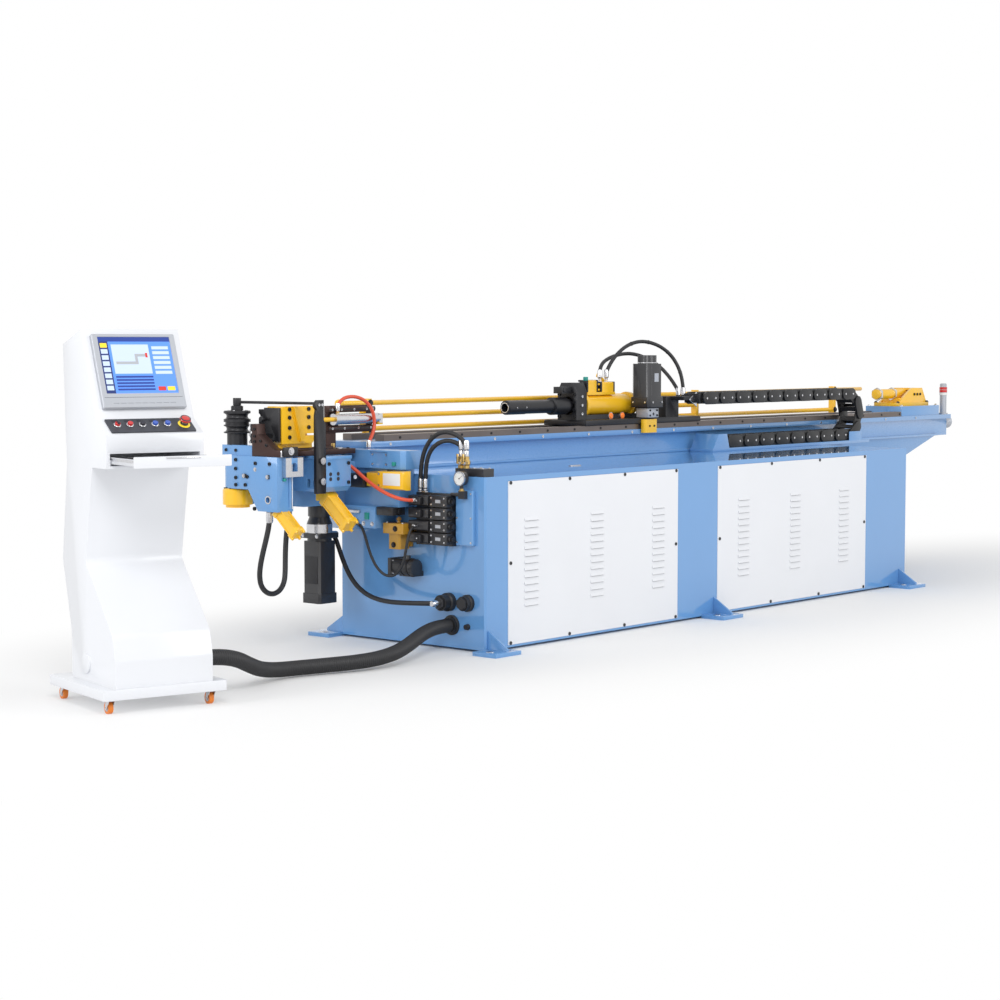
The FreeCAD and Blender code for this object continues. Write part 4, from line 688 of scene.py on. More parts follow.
def collar(path, start, length, radius, sides=18):
    """A crimped sleeve over the hose between two distances from its start."""
    walked = 0.0
    for a, b in zip(path, path[1:]):
        step = (b - a).length
        if walked + step >= start:
            point = a + (b - a) * ((start - walked) / step)
            profile = [(0, radius * 0.8), (length * 0.1, radius), (length * 0.85, radius),
                       (length, radius * 0.82)]
            return place(turned("sleeve", profile, sides), point, b - a)
        walked += step
    return None


class BENDER_OT_hoses(bpy.types.Operator):
    """Hoses and cables along their routes, with a crimped sleeve at each end"""

    bl_idname = "bender.hoses"
    bl_label = "Hoses"

    def execute(self, context):
        look = finishes()
        finish = {"arch_hose": "red_hose", "feed_hose": "red_hose"}
        for name, (diameter, body, points) in ROUTES.items():
            path = centre_line(name, points)
            if name == "console_conduit":
                path = resampled(path, context.scene.bender_sizes.rib_pitch / 4)
                piece = ribbed_tube("conduit_tube", path, diameter / 2000)
            else:
                piece = route_curve(name + "_line", points, diameter / 2000)
            pick([piece])
            bpy.ops.object.convert(target="MESH")
            piece = context.object
            crossing = name in ("arch_hose", "arm_hose")
            settle(piece, name + "_tube", body, look[finish.get(name, "rubber")], 60)
            if crossing:
                piece.parent = None
                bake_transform(piece)
            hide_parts(name)
            ends = []
            if name != "console_conduit":
                for line, holder in ((path, body), (path[::-1], "machine" if crossing else body)):
                    sleeve = collar(line, 0.001, diameter / 450, diameter * 0.000675)
                    ends.append(settle(sleeve, name + "_sleeve_" + str(len(ends)), holder,
                                       look["bright"]))
        return {"FINISHED"}


# Frame finishes


class BENDER_OT_finishes(bpy.types.Operator):
    """Paint or finish on each piece of the frame"""

    bl_idname = "bender.finishes"
    bl_label = "Frame finishes"

    def execute(self, context):
        look = finishes()
        for name, node in frame["nodes"].items():
            kind = NODE_FINISH.get(name)
            if name.startswith("caster_fork"):
                kind = "bright"
            if name.startswith("caster_wheel"):
                kind = "orange"
            node.data.materials.clear()
            node.data.materials.append(look[kind or "black"])
        return {"FINISHED"}


# Shared by the pieces below

LEFT = Vector((-1, 0, 0))
REAR = Vector((1, 0, 0))
FRONT = Vector((0, -1, 0))
BACK = Vector((0, 1, 0))
UP = Vector((0, 0, 1))


def spread(name, body, slot, finish, pattern, points, direction):
    """Copies of one pattern at machine points, all facing one way."""
    piece = copies(pattern, [(at(*point), direction) for point in points])
    return settle(piece, name, body, finishes()[finish])


def bars(name, body, finish, spans, edge=0.001):
    """Several rounded blocks as one piece."""
    piece = merged([block(name, at(*low), at(*high), edge) for low, high in spans])
    return settle(piece, name, body, finishes()[finish])


def ring_pattern(inner, outer, height, sides=32):
    """A flat ring along +Z."""
    deselect()
    bpy.ops.mesh.primitive_circle_add(vertices=sides, radius=outer, fill_type="NOTHING")
    piece = bpy.context.object
    bpy.ops.object.mode_set(mode="EDIT")
    bpy.ops.mesh.select_all(action="SELECT")
    for lift, ratio in ((height, 1), (0, inner / outer), (-height, 1), (0, outer / inner)):
        bpy.ops.mesh.extrude_region_move(TRANSFORM_OT_translate={"value": (0, 0, lift)})
        bpy.ops.transform.resize(value=(ratio, ratio, 1))
    bpy.ops.mesh.select_all(action="SELECT")
    bpy.ops.mesh.remove_doubles(threshold=0.00001)
    bpy.ops.mesh.normals_make_consistent(inside=False)
    bpy.ops.object.mode_set(mode="OBJECT")
    return piece


def fitting_pattern(radius, length):
    """A hose fitting: hexagon, waist and ferrule."""
    hexagon = turned("hexagon",
                     [(0, radius * 1.2), (length * 0.3, radius * 1.2), (length * 0.34, radius * 1.1)], 6)
    profile = [(length * 0.3, radius * 0.8), (length * 0.45, radius * 0.8), (length * 0.5, radius),
               (length * 0.95, radius), (length, radius * 0.9)]
    return merged([hexagon, turned("ferrule", profile, 20)])


def body_of(node):
    """The name of the body that carries a CAD node."""
    for name, empty in frame["bodies"].items():
        if node.parent == empty:
            return name
    return None


ROUNDED = {
    "bed_beam": 2.0, "head_frame": 2.5, "bend_arm": 2.5, "pressure_block": 2.0, "tie_post": 1.5,
    "pressure_slide": 1.2, "pressure_die": 1.2, "clamp_slide": 1.5,
    "clamp_die": 1.0, "console_housing": 1.5, "keyboard_drawer": 0.8, "carriage_base": 1.5,
    "drive_cover": 2.0, "leveling_feet": 1.5, "mandrel_unit": 2.0, "chain_tray": 1.0,
    "valve_stack": 1.2, "auxiliary_cylinder": 1.2, "bend_drive_motor": 1.5, "feed_motor": 1.5,
    "support_bars": 1.0, "clamp_cylinder": 1.0, "pressure_cylinder": 1.0, "energy_chain": 1.0,
    "chuck_cylinder": 1.2, "pump_unit": 1.2,
}


class BENDER_OT_edges(bpy.types.Operator):
    """Rounded edges on the plates, housings and blocks"""

    bl_idname = "bender.edges"
    bl_label = "Rounded edges"

    def execute(self, context):
        for name, width in ROUNDED.items():
            node = frame["nodes"][name]
            finish = node.data.materials[0]
            piece = bpy.data.objects.new(name + "_skin", node.data.copy())
            context.scene.collection.objects.link(piece)
            piece.matrix_world = node.matrix_world.copy()
            pick([piece])
            bpy.ops.object.mode_set(mode="EDIT")
            bpy.ops.mesh.select_all(action="SELECT")
            bpy.ops.mesh.remove_doubles(threshold=0.00002)
            bpy.ops.mesh.dissolve_limited(angle_limit=math.radians(0.5))
            bpy.ops.mesh.normals_make_consistent(inside=False)
            bpy.ops.object.mode_set(mode="OBJECT")
            soften(piece, width / 1000, 2, 32)
            settle(piece, name + "_skin", body_of(node), finish, 38)
            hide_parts(name)
        return {"FINISHED"}


class BENDER_OT_cabinet(bpy.types.Operator):
    """Panel screws, painted shade strips under the louvres and cabinet fittings"""

    bl_idname = "bender.cabinet"
    bl_label = "Cabinet details"

    def execute(self, context):
        sizes = context.scene.bender_sizes
        for y, direction, side in ((-1.0, FRONT, "front"), (993.0, BACK, "back")):
            points = []
            shade_strips = []
            for x0, x1 in ((171.0, 1585.0), (1960.0, 3527.0)):
                w = x1 - x0
                for share in (0.0125, 0.34, 0.665, 0.9875):
                    points += [(x0 + share * w, y, 828.0), (x0 + share * w, y, 33.0)]
                points += [(x0 + 0.0125 * w, y, 430.0), (x0 + 0.9875 * w, y, 430.0)]
                # Each louvre gets a thin dark strip just in front of the panel: painted shade standing in for
                # the dark opening under the louvre hood.
                for column in (-530.0, 0.0, 530.0):
                    x = (x0 + x1) / 2 + column
                    for row in range(13):
                        z = 208.0 + row * 35.5
                        near = y + direction.y * 0.5
                        far = y + direction.y * 5.5
                        shade_strips.append(((x - 48, min(near, far), z - 1.2), (x + 48, max(near, far), z - 0.2)))
            spread("panel_screws_" + side, "machine", "access_panels", "black_paint",
                   screw_pattern(sizes.screw, 0.0035), points, direction)
            bars("louvre_painted_shade_" + side, "machine", "ink", shade_strips, 0.0)
        feet = [(x, y, 20.0) for x in (-50.0, 1855.0, 3858.0) for y in (-75.0, 1067.0)]
        spread("foot_washers", "machine", "leveling_feet", "bright", ring_pattern(0.0115, 0.021, 0.003),
               feet, UP)
        way_screws = [(x, 796.0, 1028.0) for x in range(240, 5300, 240)]
        spread("way_screws", "machine", "guide_ways", "black", screw_pattern(0.007, 0.0025), way_screws,
               FRONT)
        rim = [(x, 790.0, 997.0) for x in range(160, 5900, 410)]
        spread("flange_screws", "machine", "bed_beam", "bright", screw_pattern(0.008, 0.003), rim, FRONT)
        pad = [(x, y, 1080.0) for x in (5335.0, 5815.0) for y in (815.0, 1075.0)]
        spread("rear_pad_bolts", "machine", "bed_beam", "bright", hex_pattern(0.010, 0.010), pad, UP)
        bars("cabinet_tab", "machine", "bright", [((1040, 300, 863), (1120, 322, 867))])
        return {"FINISHED"}


class BENDER_OT_head(bpy.types.Operator):
    """Sensors, plates, bolts and solenoid fittings on the bend head"""

    bl_idname = "bender.head"
    bl_label = "Head details"

    def execute(self, context):
        bars("head_strip", "machine", "plate", [((-126, 500, 900), (-122, 530, 972))])
        # Dark discs on the head strip are painted shade, standing in for the shade inside its two holes.
        spread("strip_hole_shade", "machine", "head_frame", "ink",
               turned("hole", [(0, 0.005), (0.0006, 0.005)], 16),
               [(-126, 515, 915), (-126, 515, 955)], LEFT)
        bars("head_sensors", "machine", "teal",
             [((-124, 446, 962), (-116, 460, 980)), ((-142, 474, 908), (-130, 492, 926)),
              ((-162, 640, 634), (-150, 664, 668))])
        spread("recess_screws", "machine", "head_frame", "bright", screw_pattern(0.006, 0.004),
               [(-122, 548, 912), (-122, 642, 912), (-122, 548, 960), (-122, 642, 960)], LEFT)
        spread("recess_pin", "machine", "head_frame", "black",
               turned("pin", [(0, 0.009), (0.022, 0.009), (0.024, 0.007)], 20, 0.0006), [(-130, 505, 880)],
               LEFT)
        bars("blank_plate", "machine", "plate", [((-176.2, 404, 812), (-175, 520, 872))],
             0.0004)
        spread("cover_screws", "machine", "drive_cover", "bright", screw_pattern(0.006, 0.003),
               [(-175, 548, 812), (-175, 548, 868)], LEFT)
        spread("solenoid_lens", "machine", "valve_stack", "lens",
               turned("lens", [(0, 0.010), (0.003, 0.010), (0.006, 0.006)], 24), [(-186, 701, 846)], LEFT)
        spread("solenoid_nuts", "machine", "valve_stack", "black", hex_pattern(0.015, 0.012),
               [(-149, 650, 829), (-105, 480, 680)], FRONT)
        spread("shelf_bolts", "machine", "head_frame", "bright", hex_pattern(0.008, 0.008),
               [(-150, y, z) for y, z in ((620, 612), (680, 612), (830, 660))], LEFT)
        bars("shelf_rail", "machine", "bright", [((-164, 700, 664), (-150, 830, 680))])
        spread("head_side_bolts", "machine", "head_frame", "black", screw_pattern(0.010, 0.008),
               [(-632, 870, 770), (-632, 870, 920), (-632, 955, 920), (-632, 955, 700)], LEFT)
        spread("head_back_bolts", "machine", "head_frame", "black", screw_pattern(0.012, 0.008),
               [(x, 1062, z) for x in (-560, -400, -240, -80) for z in (740, 780)], BACK)
        spread("motor_bolts", "machine", "bend_drive_motor", "bright", hex_pattern(0.007, 0.007),
               [(-283, 880, 543), (-283, 980, 543)], LEFT)
        motor_plate = [((-277.6, 884, 300), (-275, 976, 440))]
        bars("motor_plate", "machine", "black", motor_plate, 0.0008)
        spread("gear_ring", "machine", "bend_drive_motor", "bright",
               ring_pattern(0.0638, 0.0655, 0.044, 48),
               [(-215, 930, 557)], UP)
        spread("hose_port_nut", "machine", "head_frame", "bright", ring_pattern(0.0132, 0.0185, 0.014, 6),
               [(-458, 900, 678)], UP)
        spread("drum_screws", "machine", "bend_drum", "black", screw_pattern(0.008, 0.004),
               [(-703 + 62 * math.cos(a), 1002 + 62 * math.sin(a), 804) for a in (2.6, 3.4, 4.2)], UP)
        return {"FINISHED"}


class BENDER_OT_arm(bpy.types.Operator):
    """Hub bolts, sensors, slide block and clamp fittings on the bend arm"""

    bl_idname = "bender.arm"
    bl_label = "Arm and clamp details"

    def execute(self, context):
        hub = [(-769, 940, z) for z in (826, 861, 905, 948)]
        spread("hub_bolts", "arm", "bend_arm", "black", screw_pattern(0.009, 0.007), hub, LEFT)
        spread("arm_bolts", "arm", "bend_arm", "black", screw_pattern(0.009, 0.007),
               [(-769, 872, 828), (-769, 858, 868), (-769, 700, 935), (-769, 800, 935)], LEFT)
        bars("arm_sensors", "arm", "black_paint",
             [((-777, 866, 862), (-769, 890, 882)), ((-777, 702, 862), (-769, 722, 882))])
        spread("arm_sensor_nuts", "arm", "bend_arm", "bright", hex_pattern(0.007, 0.006),
               [(-777, 878, 872), (-777, 712, 872), (-769, 805, 905)], LEFT)
        spread("pivot_rings", "arm", "bend_arm", "bright", ring_pattern(0.0142, 0.020, 0.003),
               [(-769, 714, 761)], LEFT)
        route = [(-675, 646, 716), (-675, 645, 800), (-675, 645, 880), (-675, 645, 950)]
        cable = merged([rod("cable", at(*a), at(*b), 0.0022, 10) for a, b in zip(route, route[1:])])
        settle(cable, "arm_cable", "arm", finishes()["plate"])
        bars("arm_fitting", "arm", "teal", [((-734, 636, 852), (-722, 650, 866))])
        spread("seat_screws", "arm", "bend_arm", "black", screw_pattern(0.008, 0.006),
               [(-750, 960, 993), (-750, 1030, 993)], LEFT)
        bars("clamp_tail", "clamp", "bright",
             [((-757, 636, 969), (-742, 640, 1000)), ((-692, 636, 969), (-677, 640, 1000))])
        bars("clamp_tail_block", "clamp", "black", [((-743, 626, 970), (-652, 640, 1016))],
             0.002)
        spread("clamp_tail_nut", "clamp", "clamp_slide", "bright", hex_pattern(0.013, 0.012),
               [(-700, 626, 996)], FRONT)
        bars("slide_block_faces", "arm", "bright",
             [((-738, 621, 872), (-701, 622, 963)), ((-661, 621, 872), (-624, 622, 963)),
              ((-701, 621, 872), (-661, 622, 898)),
              ((-738, 622, 872), (-737, 650, 963)), ((-738, 621, 963), (-701, 650, 964)),
              ((-661, 621, 963), (-624, 650, 964))],
             0.0)
        spread("clamp_side_screws", "clamp", "clamp_slide", "black", screw_pattern(0.007, 0.006),
               [(-763, 812, 1040), (-763, 812, 1066), (-763, 812, 1100), (-763, 770, 1044),
                (-763, 730, 1024)], LEFT)
        spread("insert_screws", "clamp", "clamp_die", "bright", screw_pattern(0.005, 0.003),
               [(-763, 843, 1036), (-763, 843, 1072), (-763, 843, 1093), (-763, 843, 1119)], LEFT)
        spread("die_nut", "arm", "bend_die", "black", hex_pattern(0.018, 0.010), [(-703, 1002, 1206)], UP)
        spread("die_screws", "arm", "bend_die", "bright", screw_pattern(0.006, 0.003),
               [(-703 + 46 * math.cos(a), 1002 + 46 * math.sin(a), 1184) for a in (0.5, 1.55, 2.6, 3.64,
                                                                                   4.7, 5.7)], UP)
        return {"FINISHED"}


class BENDER_OT_pressure(bpy.types.Operator):
    """Bolts, knob, rails' screws and fittings on the pressure die unit"""

    bl_idname = "bender.pressure"
    bl_label = "Pressure die details"

    def execute(self, context):
        spread("holder_bolts", "booster", "pressure_holder", "black", screw_pattern(0.010, 0.006),
               [(-590, 752, z) for z in (1192, 1152, 1102, 1056)] + [(-460, 752, z) for z in (1192, 1152,
                                                                                              1102)], FRONT)
        spread("knob_ring", "booster", "pressure_die", "black",
               turned("knob", [(0, 0.0135), (0.018, 0.0135), (0.020, 0.011)], 28, 0.0006),
               [(-677.9, 840, 1146)], LEFT)
        spread("holder_nut", "booster", "pressure_holder", "bright", hex_pattern(0.022, 0.012),
               [(-386, 821, 1132)], REAR)
        rails = [(x, 833, 1180) for x in (-215, -150, -60, 30, 75)] + [(x, 833, 1085) for x in (-215, -130,
                                                                                                -30, 60)]
        spread("rail_screws", "pressure", "pressure_slide", "bright", screw_pattern(0.006, 0.003), rails,
               FRONT)
        bars("rail_strips", "pressure", "black",
             [((-238, 831.6, 1176), (95, 833, 1184)), ((-238, 831.6, 1081), (95, 833, 1089))], 0.0004)
        bars("booster_block", "pressure", "yellow",
             [((84, 800, 1100), (116, 842, 1112))])
        spread("booster_port", "pressure", "booster_cylinder", "brass", fitting_pattern(0.010, 0.020),
               [(-190, 821, 1152)], UP)
        spread("slide_fitting", "pressure", "pressure_slide", "brass", fitting_pattern(0.010, 0.026),
               [(-236, 808, 988)], UP)
        spread("slide_ring", "pressure", "pressure_slide", "bright", ring_pattern(0.011, 0.019, 0.006),
               [(-232, 770, 988)], UP)
        spread("slide_screws", "pressure", "pressure_slide", "black", screw_pattern(0.008, 0.005),
               [(x, 758, 988.3) for x in (-390, -330, -180)], UP)
        spread("block_ovals", "machine", "pressure_block", "ink",
               turned("oval", [(0, 0.010), (0.0006, 0.010)], 20),
               [(-440, 620, 850), (-440, 620, 874), (-388, 620, 850), (-388, 620, 874)], FRONT)
        spread("block_bolts", "machine", "pressure_block", "black", screw_pattern(0.009, 0.006),
               [(-452, 620, 925), (-318, 620, 925), (-318, 620, 830)], FRONT)
        spread("post_nuts", "machine", "tie_post", "bright", hex_pattern(0.012, 0.010),
               [(-504, 606, 842), (-504, 606, 942)], FRONT)
        spread("post_screws", "machine", "tie_post", "bright", screw_pattern(0.007, 0.005),
               [(-520, 618, 1215), (-500, 618, 1215)], FRONT)
        spread("feed_port", "machine", "pressure_block", "brass", fitting_pattern(0.011, 0.024),
               [(-300, 740, 932)], REAR)
        return {"FINISHED"}


class BENDER_OT_valves(bpy.types.Operator):
    """Coils, plugs, gauge, ball valves and fittings on the cabinet's end"""

    bl_idname = "bender.valves"
    bl_label = "Valve and gauge details"

    def execute(self, context):
        levels = [524 + 62 * i for i in range(4)]
        spread("coil_nuts", "machine", "valve_stack", "black", hex_pattern(0.014, 0.012),
               [(-42, 180, z + 28) for z in levels], FRONT)
        spread("valve_screws", "machine", "valve_stack", "bright", screw_pattern(0.0045, 0.003),
               [(-70, y, z + dz) for z in levels for y, dz in ((206, 12), (206, 44), (292, 12), (292, 44))],
               LEFT)
        bars("valve_plates", "machine", "bezel",
             [((-70.8, 232, z + 20), (-70, 266, z + 36)) for z in levels], 0.0)
        bars("coil_plugs", "machine", "black",
             [((-100, 340, z + 10), (-78, 384, z + 46)) for z in levels if z != 586], 0.002)
        spread("plug_screws", "machine", "valve_stack", "bright", screw_pattern(0.004, 0.0025),
               [(-100, 362, z + 28) for z in levels if z != 586], LEFT)
        spread("plug_glands", "machine", "valve_stack", "black", hex_pattern(0.008, 0.012),
               [(-89, 362, z + 10) for z in levels[:1]], -UP)
        # Small dark dots on each coil are painted shade, standing in for the shade in its grooves.
        spread("coil_groove_shade", "machine", "valve_stack", "ink",
               turned("groove", [(0, 0.0015), (0.0008, 0.0015)], 8),
               [(-78, y, z + 28) for z in levels for y in (396, 404, 412, 420)], LEFT)
        spread("stack_fittings", "machine", "valve_stack", "bright", fitting_pattern(0.0125, 0.017),
               [(-20, 377, 783 - 6.5), (-20, 411, 783 - 6.5)], UP)
        face = turned("face", [(0, 0.032), (0.0008, 0.032)], 40)
        spread("gauge_face", "machine", "pressure_gauge", "dial", face, [(-52, 123, 855)], LEFT)
        spread("gauge_rim", "machine", "pressure_gauge", "bright", ring_pattern(0.0315, 0.0365, 0.006, 48),
               [(-48, 123, 855)], LEFT)
        ticks = []
        for i in range(21):
            turn = math.radians(225 - i * 13.5)
            out = Vector((0, -math.cos(turn), math.sin(turn)))
            long = 0.007 if i % 5 == 0 else 0.004
            centre = at(-52.9, 123, 855) + out * (0.029 - long / 2)
            mark = block("tick", Vector((-0.0003, -0.0005, -long / 2)), Vector((0.0003, 0.0005, long / 2)),
                         0.0)
            mark.data.transform(Matrix.Translation(centre) @ Matrix.Rotation(math.atan2(-out.y, out.z), 4,
                                                                             "X"))
            ticks.append(mark)
        needle = block("needle", Vector((-0.0004, -0.0007, -0.006)), Vector((0.0004, 0.0007, 0.024)), 0.0)
        needle.data.transform(Matrix.Translation(at(-53.2, 123, 855)) @ Matrix.Rotation(math.radians(52), 4,
                                                                                        "X"))
        boss = place(turned("boss", [(0, 0.0035), (0.0018, 0.003)], 20), at(-52.6, 123, 855), LEFT)
        settle(merged(ticks + [needle, boss]), "gauge_marks", "machine",
               finishes()["ink"])
        valve = merged([
            turned("nut", [(0, 0.0175), (0.012, 0.0175), (0.014, 0.016)], 6),
            turned("ball", [(0.014, 0.0145), (0.020, 0.0185), (0.036, 0.0185), (0.042, 0.0145),
                            (0.046, 0.0145)], 28),
            turned("top", [(0.046, 0.0165), (0.056, 0.0165), (0.058, 0.015)], 6),
        ])
        spread("ball_valves", "machine", "pressure_gauge", "brass", valve, [(24, 144, 901), (24, 177, 901)],
               UP)
        spread("valve_ferrules", "machine", "pressure_gauge", "bright",
               turned("ferrule", [(0, 0.0125), (0.026, 0.0125), (0.028, 0.0115)], 24),
               [(24, 144, 960), (24, 177, 960)], UP)
        spread("valve_stems", "machine", "pressure_gauge", "bright", hex_pattern(0.008, 0.010),
               [(8, 144, 928), (8, 177, 928)], LEFT)
        bars("valve_levers", "machine", "brass",
             [((-5, 136, 924), (-1, 148, 972)), ((-5, 173, 924), (-1, 185, 972))], 0.001)
        spread("manifold_screws", "machine", "pressure_gauge", "bright", screw_pattern(0.006, 0.004),
               [(x, y, 901) for x in (30, 78) for y in (40, 96)] + [(78, 192, 901)], UP)
        spread("elbow_nut", "machine", "pressure_gauge", "brass", hex_pattern(0.011, 0.012),
               [(-35, 123, 793.5)], UP)
        spread("cylinder_screws", "machine", "auxiliary_cylinder", "bright", screw_pattern(0.006, 0.005),
               [(-96, 462, 618), (-22, 462, 618), (-96, 568, 618), (-22, 568, 618)], UP)
        spread("cylinder_plugs", "machine", "auxiliary_cylinder", "black", hex_pattern(0.010, 0.010),
               [(-98, 522, 510), (-110, 500, 592)], LEFT)
        spread("pump_bolts", "machine", "pump_unit", "bright", screw_pattern(0.007, 0.006),
               [(-100, 530, 368), (-100, 530, 432), (-24, 530, 368), (-24, 530, 432)], FRONT)
        spread("pump_rib", "machine", "pump_unit", "black", ring_pattern(0.0415, 0.0455, 0.010, 40),
               [(-62, 440, 400), (-62, 480, 400)], FRONT)
        spread("gland_nuts", "machine", "cable_glands", "black",
               turned("nut", [(0, 0.034), (0.010, 0.034), (0.014, 0.028)], 6),
               [(-44, 112, 240), (-70, 235, 237)], LEFT)
        spread("box_screws", "machine", "cabinet", "bright", screw_pattern(0.005, 0.003),
               [(-22, y, z) for y in (74, 164) for z in (540, 660, 780)], LEFT)
        return {"FINISHED"}


class BENDER_OT_carriage(bpy.types.Operator):
    """Collet, bolts, lamps, fittings and brackets on the feed carriage"""

    bl_idname = "bender.carriage"
    bl_label = "Carriage details"

    def execute(self, context):
        spread("collet_ring", "spindle", "spindle", "bright", ring_pattern(0.0245, 0.029, 0.004),
               [(1242, 940, 1157)], LEFT)
        # Four thin dark bars on the collet's face are painted shade, standing in for the shade in its slits.
        slit_shades = []
        for i in range(4):
            turn = math.pi / 4 + i * math.pi / 2
            slit_shade = block("slit_shade", Vector((-0.004, -0.0015, 0.0245)), Vector((0.0, 0.0015, 0.036)), 0.0)
            slit_shade.data.transform(Matrix.Translation(at(1242, 940, 1157)) @ Matrix.Rotation(turn, 4, "X"))
            slit_shades.append(slit_shade)
        settle(merged(slit_shades), "collet_slit_shade", "spindle", finishes()["ink"])
        spread("nose_screws", "spindle", "spindle", "bright", screw_pattern(0.004, 0.003),
               [(1300, 900, 1157), (1380, 900, 1157)], FRONT)
        spread("yoke_bolts", "carriage", "carriage_base", "black", screw_pattern(0.010, 0.008),
               [(1790, 884, z) for z in (1096, 1136, 1180, 1222)] + [(1790, 996, z) for z in (1096, 1136,
                                                                                              1180, 1222)], LEFT)
        spread("yoke_side_bolts", "carriage", "carriage_base", "bright", screw_pattern(0.008, 0.006),
               [(1838, 870, z) for z in (1110, 1160, 1210)], FRONT)
        spread("housing_bolts", "carriage", "spindle_housing", "black", screw_pattern(0.006, 0.005),
               [(2370, 940 + 62 * math.cos(a), 1157 + 62 * math.sin(a)) for a in (0, 0.8, 1.57, 2.35, 3.14,
                                                                                  4.0, 5.5)], REAR)
        black_caps = []
        for x0, x1, top in ((1928, 1942, 1303.5), (2018, 2032, 1303.5), (2058, 2072, 1291.5),
                            (2178, 2192, 1291.5)):
            black_caps.append(((x0, 903.5, 1232), (x1, 971.5, top)))
        bars("chuck_caps", "carriage", "black", black_caps, 0.003)
        spread("chuck_screws", "carriage", "chuck_cylinder", "bright", screw_pattern(0.006, 0.005),
               [(1928, y, z) for y in (914, 961) for z in (1246, 1290)], LEFT)
        spread("chuck_fittings", "carriage", "chuck_cylinder", "bright", fitting_pattern(0.0095, 0.020),
               [(2090, 937, 1291), (2150, 937, 1291)], UP)
        bars("chuck_plug", "carriage", "teal", [((1905, 895, 1300), (1928, 915, 1322))],
             0.002)
        bars("chuck_plug_arm", "carriage", "black",
             [((1912, 900, 1284), (1932, 912, 1300))], 0.001)
        spread("lamps", "carriage", "carriage_base", "lamp",
               turned("lamp", [(0, 0.017), (0.006, 0.017), (0.010, 0.012)], 28),
               [(2120, 880, 1092), (2230, 880, 1092)], FRONT)
        spread("lamp_rings", "carriage", "carriage_base", "bright", ring_pattern(0.0172, 0.021, 0.004),
               [(2120, 880, 1092), (2230, 880, 1092)], FRONT)
        bars("adapter_plate", "carriage", "bezel",
             [((2305, 741, 1080), (2403, 744, 1134)), ((2305, 744, 1080), (2308, 830, 1134))], 0.001)
        spread("adapter_screws", "carriage", "carriage_base", "black", screw_pattern(0.006, 0.004),
               [(x, 741, z) for x in (2320, 2388) for z in (1092, 1122)], FRONT)
        # A dark disc on the adapter plate is painted shade, standing in for the shade inside its slot.
        spread("adapter_slot_shade", "carriage", "carriage_base", "ink",
               turned("slot", [(0, 0.009), (0.0006, 0.009)], 24),
               [(2354, 741, 1100)], FRONT)
        spread("flange_side_bolts", "carriage", "feed_motor", "bright", screw_pattern(0.006, 0.005),
               [(2280, y, 1170) for y in (746, 834)], LEFT)
        spread("flange_front_bolts", "carriage", "feed_motor", "bright", screw_pattern(0.006, 0.005),
               [(x, 716, 1170) for x in (2310, 2398)], FRONT)
        bars("motor_label", "carriage", "bezel", [((2334, 719.2, 1290), (2374, 720, 1340))],
             0.0)
        spread("motor_cap_ring", "carriage", "feed_motor", "bright",
               ring_pattern(0.0556, 0.0572, 0.004, 40),
               [(2354, 790, 1400)], UP)
        fork = block("flat", Vector((-0.080, -0.004, -0.012)), Vector((0.080, 0.004, 0.012)), 0.0015)
        fork.data.transform(Matrix.Translation(at(2210, 1000, 1290)) @ Matrix.Rotation(math.radians(32), 4,
                                                                                       "Y"))
        settle(fork, "flat_bar", "carriage", finishes()["yellow"])
        bracket = turned("bracket", [(0, 0.052), (0.006, 0.052)], 3, 0.001)
        place(bracket, at(2700, 700, 1180), FRONT, math.pi / 2)
        settle(bracket, "chain_bracket", "carriage", finishes()["bright"])
        # A dark disc behind the chain bracket is painted shade, standing in for the shade in the bracket's bore.
        spread("bracket_hole_shade", "carriage", "carriage_base", "ink",
               turned("hole", [(0, 0.011), (0.0006, 0.011)], 24),
               [(2700, 693.9, 1176)], FRONT)
        spread("cover_bolts", "carriage", "pinion_cover", "black", screw_pattern(0.006, 0.004),
               [(x, 752, 1030) for x in (2332, 2376)], FRONT)
        path = centre_line("ties", ROUTES["chuck_hose_1"][2])
        total = run_length(path)
        ties = [collar(path, total * share, 0.006, 0.0128) for share in (0.36, 0.52, 0.68, 0.84)]
        settle(merged(ties), "hose_ties", "carriage", finishes()["black_paint"])
        return {"FINISHED"}


